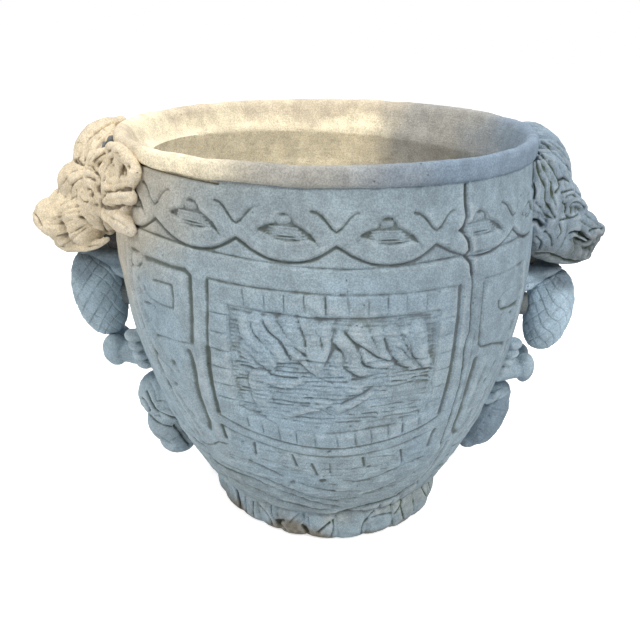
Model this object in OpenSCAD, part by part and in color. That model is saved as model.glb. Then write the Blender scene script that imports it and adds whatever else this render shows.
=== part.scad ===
// Garden planter with two lion heads, cast in concrete sections and set together with mortar and steel.
// Frame: millimetres, +Z up, origin under the centre of the foot, the carved panels face -Y and +Y, the heads -X and +X.

/* [Bowl] */
// Height of the lip's top above the ground, at its middle
bowl_h = 655; // [645:1:670]
// Height of the lip
lip_h = 25; // [18:1:32]
// Slope of the lip across the bowl, higher at +X, in degrees
lip_slope = 2.6; // [0:0.2:4]
// Widest diameter of the belly
belly_d = 674; // [664:2:684]
// How far the lip's edge stands in from the belly
lip_inset = 15; // [10:1:22]
// Height of the belly's widest place, as a share of the bowl's height
belly_share = 0.7176; // [0.69:0.002:0.74]
// Radius of the curve below the belly, as a share of the bowl's height
lower_curve_share = 1.1634; // [1.13:0.002:1.2]
// Radius of the curve above the belly, as a share of the bowl's height
upper_curve_share = 0.9771; // [0.92:0.002:1.1]
// Thickness of the wall
wall = 42; // [38:1:46]
// Thickness of the floor
floor_t = 48; // [42:1:56]
// Width left on top of the lip, outside the flare of its inner edge
lip_edge_w = 14; // [10:1:20]
// Height of the flare inside the lip
flare_h = 50; // [40:1:60]

/* [Frieze] */
// Height of the line under the frieze, as a share of the bowl's height
frieze_share = 0.8244; // [0.816:0.001:0.832]
// Height of one wave of the interlaced band, as a share of the bowl's height
wave_share = 0.0397; // [0.034:0.001:0.045]
// Number of waves round the bowl
waves = 16; // [12:1:20]
// Length of a leaf in the band
leaf_l = 62; // [50:1:70]
// How far a leaf stands proud
leaf_proud = 4; // [2:0.5:6]
// Depth of the cuts in the relief
carve_t = 5; // [3:0.5:7]

/* [Panels] */
// Half width of the brick-framed panel
panel_half_w = 175; // [165:1:180]
// Height of the panel's top edge, as a share of the bowl's height
panel_top_share = 0.771; // [0.764:0.001:0.78]
// Height of the panel's lower corners, as a share of the bowl's height
panel_corner_share = 0.4504; // [0.435:0.001:0.466]
// How far the lower edge sags below the corners
panel_sag = 50; // [35:1:60]
// Width of the brick course at the panel's sides
brick_side_w = 36; // [30:1:40]
// Height of the brick course at the panel's top and foot
brick_h = 27; // [22:1:32]
// Bricks in the top and foot courses
bricks_across = 12; // [8:1:14]
// Bricks in a side course
bricks_down = 7; // [5:1:9]
// Width of the groove round the panel
frame_groove_w = 6; // [4:0.5:8]
// Width of a joint between bricks
brick_joint_w = 3; // [2:0.5:4]
// Width of a squared key panel
key_w = 92; // [84:1:98]
// Height of a squared key panel
key_h = 108; // [98:1:114]
// Width of the line that draws the key
key_line_w = 7; // [5:0.5:9]
// Slots in the row under a panel
slots = 8; // [4:1:10]
// Height of a slot
slot_h = 28; // [20:1:34]

/* [Foot] */
// Height of the foot ring
foot_h = 62; // [54:1:70]
// How far the toes stand in from the edge of the bowl's foot
foot_inset = 4; // [0:1:10]
// Width of the foot ring, from its toes to its bore
foot_w = 98; // [90:1:106]
// Toes round the foot
toes = 14; // [10:1:16]
// Thickness of the mortar bed between foot and bowl
bed_t = 6; // [4:1:10]

/* [Drain] */
// Bore of the cast-in drain pipe
drain_bore_d = 32; // [25:1:40]
// Wall of the cast-in drain pipe
drain_wall = 3; // [2:0.5:4]

/* [Lion heads] */
// How far a snout reaches from the head's flat back
head_out = 129; // [120:1:138]
// Width over the mane
head_w = 270; // [250:2:290]
// Height of a head from chin to crown, as a share of the bowl's height
head_share = 0.3237; // [0.305:0.001:0.336]
// Height of the chin above the ground, as a share of the bowl's height
chin_share = 0.6825; // [0.672:0.001:0.695]
// Thickness of the mortar pad at its middle
head_pad_t = 12; // [8:1:16]
// Diameter of the mortar pad behind a head
head_pad_d = 120; // [100:2:140]
// Width of the bracket under the chin
bracket_w = 84; // [70:1:100]
// Height of the bracket at the wall, as a share of the bowl's height
bracket_height_share = 0.0672; // [0.055:0.001:0.076]

/* [Hanging fruit] */
// Width of a pine cone
cone_w = 94; // [84:1:100]
// Height of a pine cone, as a share of the bowl's height
cone_share = 0.2229; // [0.205:0.001:0.238]
// Height of a pine cone's middle above the ground, as a share of the bowl's height
cone_middle_share = 0.5466; // [0.534:0.001:0.559]
// How far a pine cone's middle stands out from the bowl's side
cone_out = 70; // [66:1:75]
// Diameter of a berry, as a share of the bowl's height
berry_share = 0.0702; // [0.058:0.001:0.079]
// Height of the berries above the ground, as a share of the bowl's height
berry_middle_share = 0.3939; // [0.385:0.001:0.403]
// Width of a seed pod
pod_w = 90; // [78:1:98]
// Length of a seed pod, as a share of the bowl's height
pod_share = 0.2168; // [0.195:0.001:0.232]
// Height of a seed pod's middle above the ground, as a share of the bowl's height
pod_middle_share = 0.2321; // [0.223:0.001:0.244]
// Width of the ribbed drop between cone and pod
drop_w = 26; // [20:1:32]

/* [Steel] */
// Diameter of the bars in the wall and the floor
bar_d = 8; // [6:1:10]
// Upright bars round the wall
uprights = 8; // [6:1:12]
// Diameter of the dowels
dowel_d = 12; // [10:1:14]
// Length of a dowel behind a head
head_dowel_l = 72; // [66:1:78]
// Length of a dowel in the foot
foot_dowel_l = 80; // [70:1:90]

/* [Hidden] */
$fn = 72;
// Facets of a preview of the bowl's wide curves
fine_fn = 240;

// Cutters run past what they cut by this much
overrun = 10;
// Steel lies this far from the hole that it is set in
dowel_gap = 0.3;
// Layers of bars pass each other this far apart
bar_gap = 0.5;
stone = "#b9bfbe";
warm_stone = "#c9c1ae";
mortar = "#9d9a90";
steel = "#6f7377";

belly_r = belly_d / 2;
lip_r = belly_r - lip_inset;
belly_z = bowl_h * belly_share;
lower_curve_r = bowl_h * lower_curve_share;
upper_curve_r = bowl_h * upper_curve_share;
bowl_z = foot_h + bed_t;
floor_z = bowl_z + floor_t;
lip_z = bowl_h - lip_h;
frieze_z = bowl_h * frieze_share;
wave_h = bowl_h * wave_share;
wave_step = 360 / waves;
panel_top_z = bowl_h * panel_top_share;
panel_corner_z = bowl_h * panel_corner_share;
chin_z = bowl_h * chin_share;
head_h = bowl_h * head_share;
bracket_h = bowl_h * bracket_height_share;
cone_h = bowl_h * cone_share;
cone_z = bowl_h * cone_middle_share;
berry_d = bowl_h * berry_share;
berry_z = bowl_h * berry_middle_share;
pod_l = bowl_h * pod_share;
pod_z = bowl_h * pod_middle_share;
panel_azimuths = [0, 180];
key_azimuth = 43.5;

// Radius of the bowl's outside at height z
function outer_r(z) =
    let (curve = z < belly_z ? lower_curve_r : upper_curve_r)
    belly_r - curve + sqrt(curve * curve - (z - belly_z) * (z - belly_z));

foot_r = outer_r(bowl_z) - foot_inset;
foot_bore_d = (foot_r - foot_w) * 2;
cone_reach = outer_r(cone_z) + cone_out;

// Slope of the bowl's side at height z, in degrees from upright
function lean(z) = asin((belly_z - z) / lower_curve_r);

// Half section of the bowl's outside, moved outwards by grow, between two heights
module side_2d(grow, low, high) {
    intersection() {
        translate([belly_r - lower_curve_r, belly_z]) circle(r = lower_curve_r + grow);
        translate([0, low]) square([belly_r + lip_r, belly_z - low]);
    }
    intersection() {
        translate([belly_r - upper_curve_r, belly_z]) circle(r = upper_curve_r + grow);
        translate([0, belly_z]) square([belly_r + lip_r, high - belly_z]);
    }
}

module side(grow, low, high) {
    rotate_extrude($fn = fine_fn) side_2d(grow, low, high, $fn = fine_fn);
}

// Turns the frame of the lip, which slopes across the bowl
module on_lip() {
    translate([0, 0, bowl_h]) rotate([0, -lip_slope, 0]) children();
}

// Reads a drawing in x and z on to the bowl's side that faces an azimuth, between two distances from the centre line
module on_side(azimuth, from_r, to_r) {
    rotate([0, 0, azimuth]) rotate([90, 0, 0]) translate([0, 0, from_r])
        linear_extrude(height = to_r - from_r) children();
}

module ring_2d(outer, inner) {
    difference() {
        circle(d = outer);
        circle(d = inner);
    }
}

/* Frieze drawings, each centred on x = 0 */
wave_l = belly_r * 2 * sin(wave_step / 2);
wave_arc_r = (wave_l * wave_l / 4 + wave_h * wave_h) / (2 * wave_h);
cusp_z = frieze_z + wave_h;
hollow_w = wave_l * 0.88;
vee_z = cusp_z + key_line_w * 2;
vee_w = wave_l * 0.32;
vee_h = wave_h;
leaf_h = leaf_l * 0.4;
leaf_arc_r = (leaf_l * leaf_l / 4 + leaf_h * leaf_h / 4) / leaf_h;
leaf_z = cusp_z + wave_h * 0.45;
bud_d = leaf_h * 0.9;
// The frieze stops where the heads stand
head_clear_share = 0.3;
wave_azimuths = [for (i = [0:waves - 1]) if (abs(cos(i * wave_step)) > head_clear_share) i * wave_step];
leaf_azimuths = [for (i = [0:waves - 1]) if (abs(cos((i + 0.5) * wave_step)) > head_clear_share) (i + 0.5) * wave_step];

// The hollow under the cusp where two waves meet
module wave_hollow_2d() {
    difference() {
        translate([-hollow_w / 2, frieze_z + key_line_w / 4]) square([hollow_w, wave_h - key_line_w / 4]);
        for (s = [-1, 1]) translate([s * wave_l / 2, frieze_z + wave_arc_r]) circle(r = wave_arc_r);
    }
}

// The drawn V over the cusp
module vee_2d() {
    for (s = [-1, 1])
        polygon([[0, vee_z], [s * vee_w / 2, vee_z + vee_h], [s * vee_w / 2 - s * key_line_w, vee_z + vee_h],
            [0, vee_z + key_line_w]]);
}

// A leaf between the waves, with its bud
module leaf_2d() {
    intersection_for(s = [-1, 1]) translate([0, leaf_z + s * (leaf_arc_r - leaf_h / 2)]) circle(r = leaf_arc_r);
    translate([0, leaf_z + leaf_h / 2]) circle(d = bud_d);
}

/* Panel drawings */
inner_half_w = panel_half_w - brick_side_w;
corner_slant_share = 0.9;
inner_corner_z = panel_corner_z + brick_h * (1 + corner_slant_share / 2);
sag_r = (panel_half_w * panel_half_w + panel_sag * panel_sag) / (2 * panel_sag);
slot_w = key_line_w;

// Height of the sagging lower edge at x, raised by lift
function sag_z(x, lift) = panel_corner_z - panel_sag + lift + sag_r - sqrt(sag_r * sag_r - x * x);

// The panel's outline, drawn in by inset at the sides and by brick at top and foot
module panel_2d(inset, brick) {
    low = panel_corner_z - panel_sag + brick;
    intersection() {
        translate([-panel_half_w + inset, low]) square([(panel_half_w - inset) * 2, panel_top_z - brick - low]);
        union() {
            translate([0, low + sag_r]) circle(r = sag_r);
            translate([-panel_half_w, low + sag_r]) square([panel_half_w * 2, panel_top_z]);
        }
    }
}

// Joints between the bricks of all four courses
module brick_joints_2d() {
    pitch = inner_half_w * 2 / bricks_across;
    for (i = [0:bricks_across]) {
        x = -inner_half_w + i * pitch;
        translate([x - brick_joint_w / 2, panel_top_z - brick_h]) square([brick_joint_w, brick_h]);
        translate([x - brick_joint_w / 2, sag_z(x, 0)]) square([brick_joint_w, brick_h]);
    }
    rise = (panel_top_z - brick_h - inner_corner_z) / bricks_down;
    for (s = [-1, 1], i = [0:bricks_down])
        translate([s * (panel_half_w - brick_side_w / 2) - brick_side_w / 2, inner_corner_z + i * rise])
            square([brick_side_w, brick_joint_w]);
}

// The field inside the bricks, the groove round them, and the slots below
module panel_cuts_2d() {
    difference() {
        panel_2d(0, 0);
        panel_2d(frame_groove_w, frame_groove_w);
    }
    difference() {
        panel_2d(brick_side_w - brick_joint_w, brick_h - brick_joint_w);
        panel_2d(brick_side_w, brick_h);
    }
    intersection() {
        panel_2d(0, 0);
        brick_joints_2d();
    }
    slot_step = panel_half_w * 2 / slots;
    for (i = [0:slots - 1]) {
        x = -panel_half_w + (i + 1 / 2) * slot_step;
        translate([x - slot_w / 2, sag_z(x, 0) - brick_h / 2 - slot_h]) square([slot_w, slot_h]);
    }
}

// One line of the key, from corner a to corner b
module key_line_2d(a, b) {
    low = [min(a[0], b[0]), min(a[1], b[1])];
    high = [max(a[0], b[0]), max(a[1], b[1])];
    translate(low) square(high - low + [key_line_w, key_line_w]);
}

// A squared spiral, outside in, drawn from its lower corner
module key_2d() {
    w = key_w - key_line_w;
    h = key_h - key_line_w;
    path_shares = [[0, 0], [0, 1], [1, 1], [1, 0], [0.3, 0], [0.3, 0.7], [0.7, 0.7], [0.7, 0.32]];
    for (i = [0:len(path_shares) - 2])
        key_line_2d([path_shares[i][0] * w, path_shares[i][1] * h], [path_shares[i + 1][0] * w, path_shares[i + 1][1] * h]);
}

// Where the cutters of the panels and the keys begin, as shares of the belly's radius
panel_share = 0.6;
key_share = 0.8;
cutter_end_r = belly_r + overrun;

// Keeps the part of a cutter that lies above the floor of the carving
module carved() {
    difference() {
        children();
        side(-carve_t, bowl_z - overrun, bowl_h + overrun * 2);
    }
}

module wave_hollows() {
    sagitta = outer_r(cusp_z) - sqrt(pow(outer_r(cusp_z), 2) - hollow_w * hollow_w / 4);
    for (a = wave_azimuths) on_side(a, outer_r(cusp_z) - sagitta - carve_t / 2, cutter_end_r) wave_hollow_2d();
}

module vees() {
    for (a = wave_azimuths) on_side(a, outer_r(vee_z + vee_h) - carve_t, cutter_end_r) vee_2d();
}

module panel_cuts(azimuth) {
    carved() on_side(azimuth, belly_r * panel_share, cutter_end_r) panel_cuts_2d();
}

module key_cuts(azimuth) {
    for (s = [-1, 1]) carved() on_side(azimuth + s * key_azimuth, belly_r * key_share, cutter_end_r)
        mirror([s > 0 ? 1 : 0, 0]) translate([-key_w / 2, panel_top_z - key_h]) key_2d();
}

// The leaves of the frieze, standing proud of the bowl's side
module leaves() {
    for (a = leaf_azimuths) on_side(a, outer_r(leaf_z) - wall / 2, outer_r(leaf_z) + leaf_proud) leaf_2d();
}

ridges = 3;
ridge_d = 22;
ridge_step = 30;

// Ridges round the foot of the bowl
module ridges_2d() {
    for (i = [0:ridges - 1]) {
        z = bowl_z + ridge_d + i * ridge_step;
        translate([outer_r(z) - ridge_d / 3, z]) circle(d = ridge_d);
    }
}

// The funnel that opens the bowl's inside towards the lip's edge
module flare() {
    low_r = outer_r(bowl_h - flare_h) - wall;
    high_r = lip_r - lip_edge_w;
    on_lip() translate([0, 0, -flare_h])
        cylinder(r1 = low_r, r2 = high_r + (high_r - low_r) * overrun / flare_h, h = flare_h + overrun, $fn = fine_fn);
}

module bowl() {
    color(stone) difference() {
        union() {
            difference() {
                rotate_extrude($fn = fine_fn) union() {
                    side_2d(0, bowl_z, bowl_h + overrun * 3, $fn = fine_fn);
                    ridges_2d();
                }
                on_lip() translate([0, 0, -lip_h]) cylinder(r = lip_r + overrun, h = lip_h + overrun * 6);
            }
            on_lip() translate([0, 0, -lip_h]) cylinder(r = lip_r, h = lip_h);
            leaves();
        }
        wave_hollows();
        vees();
        for (a = panel_azimuths) {
            panel_cuts(a);
            key_cuts(a);
        }
        side(-wall, floor_z, bowl_h + overrun * 4);
        flare();
        translate([0, 0, bowl_z - overrun]) cylinder(d = drain_bore_d + drain_wall * 2, h = floor_t + overrun * 2);
        wall_hoops_solid();
        wall_uprights_solid();
        floor_bars_solid();
        foot_dowels_solid(dowel_gap);
        for (s = [0, 1]) mirror([s, 0, 0]) side_dowels(dowel_gap);
    }
}

module drain_sleeve() {
    color("#8d8f8c") difference() {
        translate([0, 0, bowl_z]) cylinder(d = drain_bore_d + drain_wall * 2, h = floor_t);
        translate([0, 0, bowl_z - overrun]) cylinder(d = drain_bore_d, h = floor_t + overrun * 2);
    }
}

/* Steel in the bowl */
hoop_shares = [0.16, 0.5, 0.84];
bars_low_z = floor_z + bar_d * 2;
bars_high_z = lip_z - bar_d * 3;
upright_in = wall / 2;
hoop_in = upright_in + bar_d + bar_gap;
floor_bar_spread = belly_d * 0.104;
floor_bar_l = belly_d * 0.534;

module wall_hoops_solid() {
    for (share = hoop_shares) {
        z = bars_low_z + share * (bars_high_z - bars_low_z);
        rotate_extrude() translate([outer_r(z) - hoop_in, z]) circle(d = bar_d);
    }
}

module wall_uprights_solid() {
    low_r = lower_curve_r - upright_in;
    high_r = upper_curve_r - upright_in;
    low_a = asin((belly_z - bars_low_z) / low_r);
    high_a = asin((bars_high_z - belly_z) / high_r);
    for (i = [0:uprights - 1]) rotate([0, 0, (i + 0.5) * 360 / uprights]) {
        translate([belly_r - lower_curve_r, 0, belly_z]) rotate([90, 0, 0])
            rotate_extrude(start = -low_a, angle = low_a) translate([low_r, 0]) circle(d = bar_d);
        translate([belly_r - upper_curve_r, 0, belly_z]) rotate([90, 0, 0])
            rotate_extrude(start = 0, angle = high_a) translate([high_r, 0]) circle(d = bar_d);
    }
}

module floor_bars_solid() {
    z = bowl_z + floor_t / 2;
    for (s = [-1, 1]) {
        translate([-floor_bar_l / 2, s * floor_bar_spread, z]) rotate([0, 90, 0]) cylinder(d = bar_d, h = floor_bar_l);
        translate([s * floor_bar_spread, floor_bar_l / 2, z + bar_d + bar_gap]) rotate([90, 0, 0])
            cylinder(d = bar_d, h = floor_bar_l);
    }
}

module wall_hoops() {
    color(steel) wall_hoops_solid();
}

module wall_uprights() {
    color(steel) wall_uprights_solid();
}

module floor_bars() {
    color(steel) floor_bars_solid();
}

/* Foot */
foot_fn = 56;
toe_w = 6.2832 * foot_r / toes;
foot_dowel_count = 4;
foot_dowel_r = (foot_bore_d / 2 + bed_t + foot_r - toe_w * 0.36) / 2;

// A ball stretched to its three half sizes
module blob(at, half, sides) {
    translate(at) scale(half) sphere(r = 1, $fn = sides);
}

// One toe: a knuckle on top that runs down to a rounded tip
module toe() {
    hull() {
        blob([foot_r - toe_w * 0.62, 0, foot_h * 0.62], [toe_w * 0.45, toe_w * 0.5, foot_h * 0.36], 12);
        blob([foot_r - toe_w * 0.36, 0, foot_h * 0.26], [toe_w * 0.36, toe_w * 0.46, foot_h * 0.3], 12);
    }
}

module foot_dowels_solid(gap) {
    for (i = [0:foot_dowel_count - 1]) rotate([0, 0, (i + 0.5) * 360 / foot_dowel_count])
        translate([foot_dowel_r, 0, foot_h + bed_t / 2 - foot_dowel_l / 2 - gap])
            cylinder(d = dowel_d + gap * 2, h = foot_dowel_l + gap * 2);
}

module foot_ring() {
    color(stone) difference() {
        intersection() {
            union() {
                for (i = [0:toes - 1]) rotate([0, 0, (i + 0.5) * 360 / toes]) toe();
                cylinder(r = foot_r - toe_w * 0.35, h = foot_h, $fn = foot_fn);
            }
            cylinder(r = foot_r + overrun, h = foot_h, $fn = foot_fn);
        }
        translate([0, 0, -overrun]) cylinder(d = foot_bore_d, h = foot_h + overrun * 2, $fn = foot_fn);
        foot_dowels_solid(dowel_gap, $fn = 24);
    }
}

module foot_mortar() {
    color(mortar) difference() {
        translate([0, 0, foot_h]) cylinder(r = foot_r - toe_w * 0.36, h = bed_t);
        translate([0, 0, foot_h - overrun]) cylinder(d = foot_bore_d + bed_t * 2, h = bed_t + overrun * 2);
        foot_dowels_solid(dowel_gap);
    }
}

module foot_dowels() {
    color(steel) foot_dowels_solid(0);
}

/* Lion heads, modelled at +X and mirrored to -X */
head_mid_z = chin_z + head_h * 0.52;
head_back_x = outer_r(head_mid_z) + head_pad_t;
head_dowel_spread = head_pad_d * 0.28;
face_fn = 14;
lock_fn = 10;

// Face masses as shares of reach, half width and height: out, side, up, then half sizes
skull_shares = [[0.2, 0, 0.42, 0.37, 0.42, 0.25], [0.39, 0, 0.48, 0.23, 0.27, 0.16]];
muzzle_shares = [[0.48, 0, 0.31, 0.29, 0.27, 0.14], [0.68, 0, 0.27, 0.23, 0.2, 0.12], [0.85, 0, 0.27, 0.15, 0.15, 0.09]];
cheek_shares = [[0.36, 0.25, 0.29, 0.26, 0.17, 0.14], [0.7, 0.1, 0.2, 0.19, 0.11, 0.07]];
jaw_shares = [[0.04, 0.36, 0.24, 0.2, 0.14, 0.1], [0.27, 0.21, 0.15, 0.25, 0.15, 0.08], [0.6, 0.03, 0.08, 0.17, 0.12, 0.06]];
brow_shares = [[0.51, 0.06, 0.52, 0.06, 0.06, 0.04], [0.34, 0.31, 0.54, 0.07, 0.07, 0.04]];
eye_shares = [[0.31, 0.31, 0.46, 0.08, 0.06, 0.04]];
mane_shares = [0.05, 0, 0.52, 0.24, 0.68, 0.41];
// Locks over the crown: number, spread to each side, then the path's out, side and up shares and its radius
crown_locks = 7;
crown_spread = 0.47;
crown_path = [[0.42, 0.62, 0.62, 0.045], [0.31, 0.85, 0.78, 0.07], [0.14, 1.05, 0.88, 0.07], [0.04, 1.2, 0.9, 0.055]];
// Locks that lie back along the bowl's side: height at the root and at the tip, radius
side_locks = [[0.7, 0.86, 0.06], [0.6, 0.7, 0.07], [0.5, 0.58, 0.07], [0.39, 0.48, 0.065]];
side_lock_angles = [17, 27, 36];
side_lock_out = 5;
side_lock_gap = 1.2;

function head_at(row, flip) = [
    head_back_x + row[0] * head_out, row[1] * flip * head_w / 2, chin_z + row[2] * head_h];
function head_half(row) = [row[3] * head_out, row[4] * head_w / 2, row[5] * head_h];

module face_mass(rows, flip) {
    hull() for (row = rows) blob(head_at(row, flip), head_half(row), face_fn);
}

// One lock: a tapering sweep through balls given by place and radius
module lock(balls) {
    for (i = [0:len(balls) - 2]) hull() for (ball = [balls[i], balls[i + 1]])
        blob(ball[0], [ball[1], ball[1], ball[1]], lock_fn);
}

module crown() {
    for (i = [0:crown_locks - 1]) {
        side = (i * 2 / (crown_locks - 1) - 1) * crown_spread;
        drop = abs(side) * 0.2;
        lock([for (row = crown_path) [head_at([row[0] - drop, side * row[1], row[2] - drop], 1), row[3] * head_h]]);
    }
}

// A lock from the face back along the bowl's side
module side_lock(row, flip) {
    start_z = chin_z + head_h * row[0];
    lock([
        [[head_back_x + side_lock_out * 2, flip * head_w * 0.29, start_z], row[2] * head_h],
        for (i = [0:len(side_lock_angles) - 1])
            let (
                a = side_lock_angles[i],
                z = start_z + head_h * (row[1] - row[0]) * (i + 1) / len(side_lock_angles),
                r = outer_r(z) + side_lock_out)
            [[r * cos(a), flip * r * sin(a), z], row[2] * head_h * (1 - 0.1 * i)]]);
}

module head_dowels_solid(gap) {
    for (s = [-1, 1]) translate([outer_r(head_mid_z) + head_pad_t / 2 - head_dowel_l / 3 - gap, s * head_dowel_spread, head_mid_z])
        rotate([0, 90, 0]) cylinder(d = dowel_d + gap * 2, h = head_dowel_l + gap * 2);
}

module lion_head() {
    color(warm_stone) difference() {
        union() {
            intersection() {
                union() {
                    face_mass(skull_shares, 1);
                    face_mass(muzzle_shares, 1);
                    face_mass([mane_shares], 1);
                    for (s = [-1, 1]) {
                        face_mass(cheek_shares, s);
                        face_mass(jaw_shares, s);
                        face_mass(brow_shares, s);
                        face_mass(eye_shares, s);
                    }
                    crown();
                }
                translate([head_back_x, -head_w / 2, chin_z]) cube([head_out, head_w, head_h]);
            }
            difference() {
                for (s = [-1, 1], row = side_locks) side_lock(row, s);
                side(side_lock_gap, bowl_z, bowl_h);
                translate([0, 0, lip_z - lip_h]) cylinder(r = lip_r + side_lock_gap, h = lip_h * 3, $fn = fine_fn);
            }
        }
        head_dowels_solid(dowel_gap, $fn = 24);
    }
}

module head_mortar() {
    color(mortar) difference() {
        translate([head_back_x - head_pad_t * 2, 0, head_mid_z]) rotate([0, 90, 0]) cylinder(d = head_pad_d, h = head_pad_t * 2);
        side(0, bowl_z, bowl_h);
        head_dowels_solid(dowel_gap);
    }
}

module head_dowels() {
    color(steel) head_dowels_solid(0);
}

bracket_share = 0.5;
bracket_lip_share = 0.3;

// The wedge under the chin, from the wall out to a lip that the cone hangs below
module chin_bracket() {
    wall_x = outer_r(chin_z - bracket_h) - wall / 2;
    tip_x = head_back_x + head_out * bracket_share;
    lip_low_z = chin_z - bracket_h * bracket_lip_share;
    color(stone) difference() {
        translate([0, bracket_w / 2, 0]) rotate([90, 0, 0]) linear_extrude(height = bracket_w)
            polygon([[wall_x, chin_z - bracket_h], [wall_x, chin_z], [tip_x, chin_z], [tip_x, lip_low_z],
                [cone_reach - cone_w / 4, lip_low_z], [head_back_x, chin_z - bracket_h]]);
        side(0, bowl_z, bowl_h);
    }
}

/* Pine cones */
cone_around = 20;
cone_rows = 13;
scale_proud_share = 0.1;
cone_flat = 4;

// Half width of the cone at a share t of its height, a narrow tip at t = 0
function cone_half(t) = cone_w / 2 * pow(sin(180 * pow(t, 0.85)), 0.62);

// A studded cone: every second point of the net stands proud
module cone_body() {
    points = [
        [0, 0, 0],
        for (j = [1:cone_rows - 1], i = [0:cone_around - 1])
            let (
                t = j / cone_rows,
                a = i * 360 / cone_around,
                r = cone_half(t) * (1 - ((i + j) % 2) * scale_proud_share))
            [r * cos(a), r * sin(a), t * cone_h],
        [0, 0, cone_h]];
    last = len(points) - 1;
    function at(j, i) = 1 + (j - 1) * cone_around + i % cone_around;
    faces = [
        for (i = [0:cone_around - 1]) [0, at(1, i), at(1, i + 1)],
        for (j = [1:cone_rows - 2], i = [0:cone_around - 1])
            each (i + j) % 2 == 0
                ? [[at(j, i), at(j + 1, i), at(j + 1, i + 1)], [at(j, i), at(j + 1, i + 1), at(j, i + 1)]]
                : [[at(j, i), at(j + 1, i), at(j, i + 1)], [at(j + 1, i), at(j + 1, i + 1), at(j, i + 1)]],
        for (i = [0:cone_around - 1]) [last, at(cone_rows - 1, i + 1), at(cone_rows - 1, i)]];
    translate([cone_reach, 0, cone_z - cone_h / 2]) polyhedron(points, faces);
}

cone_back_x = cone_reach - cone_w / 2 + cone_flat;
cone_dowel_z = cone_z + cone_h * 0.12;
cone_dowel_l = 70;

module cone_dowel_solid(gap) {
    translate([outer_r(cone_dowel_z) - cone_dowel_l / 3 - gap, 0, cone_dowel_z]) rotate([0, 90, 0])
        cylinder(d = dowel_d + gap * 2, h = cone_dowel_l + gap * 2);
}

module pine_cone() {
    color(stone) difference() {
        cone_body();
        translate([cone_back_x - cone_w, -cone_w / 2, cone_z - cone_h / 2]) cube([cone_w, cone_w, cone_h]);
        cone_dowel_solid(dowel_gap);
    }
}

cone_pad_d = 40;

module cone_mortar() {
    color(mortar) difference() {
        translate([outer_r(cone_dowel_z) - wall / 2, 0, cone_dowel_z]) rotate([0, 90, 0])
            cylinder(d = cone_pad_d, h = cone_back_x - outer_r(cone_dowel_z) + wall / 2);
        side(0, bowl_z, bowl_h);
        cone_dowel_solid(dowel_gap);
    }
}

module cone_dowel() {
    color(steel) cone_dowel_solid(0);
}

/* Berries, ribbed drop and seed pod */
berry_flat = 3;
berry_pad_t = 8;
berry_pad_d = 26;
berry_step_share = 0.78;
berry_azimuth = asin(berry_d / 2 / (outer_r(berry_z) + berry_pad_t));
drop_azimuth = 13;
drop_ribs = 4;
drop_rib_d = 22;
drop_step = 15;

// The frames of the berries: origin at a berry's flat back, x outwards
module at_berries() {
    for (s = [-1, 1]) rotate([0, 0, s * berry_azimuth]) translate([outer_r(berry_z) + berry_pad_t, 0, berry_z]) children();
}

// A cluster cast in one: two balls with flat backs, and a third in front of them
module berries() {
    color(stone) union() {
        at_berries() rotate([0, 90, 0]) rotate_extrude() intersection() {
            translate([0, berry_d / 2 - berry_flat]) circle(d = berry_d);
            square(berry_d);
        }
        translate([outer_r(berry_z) + berry_pad_t + berry_d / 2 - berry_flat + berry_d * berry_step_share, 0, berry_z])
            sphere(d = berry_d);
    }
}

module berry_mortar() {
    color(mortar) difference() {
        at_berries() translate([-wall / 2, 0, 0]) rotate([0, 90, 0]) cylinder(d = berry_pad_d, h = wall / 2);
        side(0, bowl_z, bowl_h);
    }
}

// Ribs that hang in a line beside the cone, on both flanks
module ribbed_drop() {
    color(stone) difference() {
        for (s = [-1, 1]) rotate([0, 0, s * drop_azimuth]) for (i = [0:drop_ribs - 1]) {
            z = berry_z + berry_d / 2 + i * drop_step;
            translate([outer_r(z), drop_w / 2, z]) rotate([90, 0, 0]) cylinder(d = drop_rib_d, h = drop_w);
        }
        side(0, bowl_z, bowl_h);
    }
}

pod_gap = 7;
pod_flat = 6;
pod_pad_d = 46;
pod_dowel_l = 60;
pod_dome_share = 0.42;

// The pod's frame: origin at its flat back, leaning with the bowl's side
module on_pod() {
    translate([outer_r(pod_z), 0, pod_z]) rotate([0, lean(pod_z), 0]) translate([pod_gap, 0, 0]) children();
}

// Half of the pod's section on one side of its widest place
module pod_arc_2d(height, up) {
    arc_r = (pod_w * pod_w / 4 + height * height) / pod_w;
    intersection() {
        translate([pod_w / 2 - arc_r, 0]) circle(r = arc_r);
        translate([0, up ? 0 : -height]) square([pod_w, height]);
    }
}

module pod_dowel_solid(gap) {
    on_pod() translate([-pod_dowel_l / 2 - gap, 0, 0]) rotate([0, 90, 0])
        cylinder(d = dowel_d + gap * 2, h = pod_dowel_l + gap * 2);
}

module seed_pod() {
    color(stone) difference() {
        on_pod() difference() {
            translate([pod_w / 2 - pod_flat, 0, 0]) rotate_extrude() {
                pod_arc_2d(pod_l * pod_dome_share, true);
                pod_arc_2d(pod_l * (1 - pod_dome_share), false);
            }
            translate([-pod_w, -pod_w, -pod_l]) cube([pod_w, pod_w * 2, pod_l * 2]);
        }
        pod_dowel_solid(dowel_gap);
    }
}

module pod_mortar() {
    color(mortar) difference() {
        on_pod() translate([-wall / 2, 0, 0]) rotate([0, 90, 0]) cylinder(d = pod_pad_d, h = wall / 2);
        rotate_extrude($fn = fine_fn) union() {
            side_2d(0, bowl_z, bowl_h, $fn = fine_fn);
            ridges_2d();
        }
        pod_dowel_solid(dowel_gap);
    }
}

module pod_dowel() {
    color(steel) pod_dowel_solid(0);
}

// All the steel that enters the bowl's side at +X
module side_dowels(gap) {
    head_dowels_solid(gap);
    cone_dowel_solid(gap);
    pod_dowel_solid(gap);
}

module left() {
    mirror([1, 0, 0]) children();
}

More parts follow.
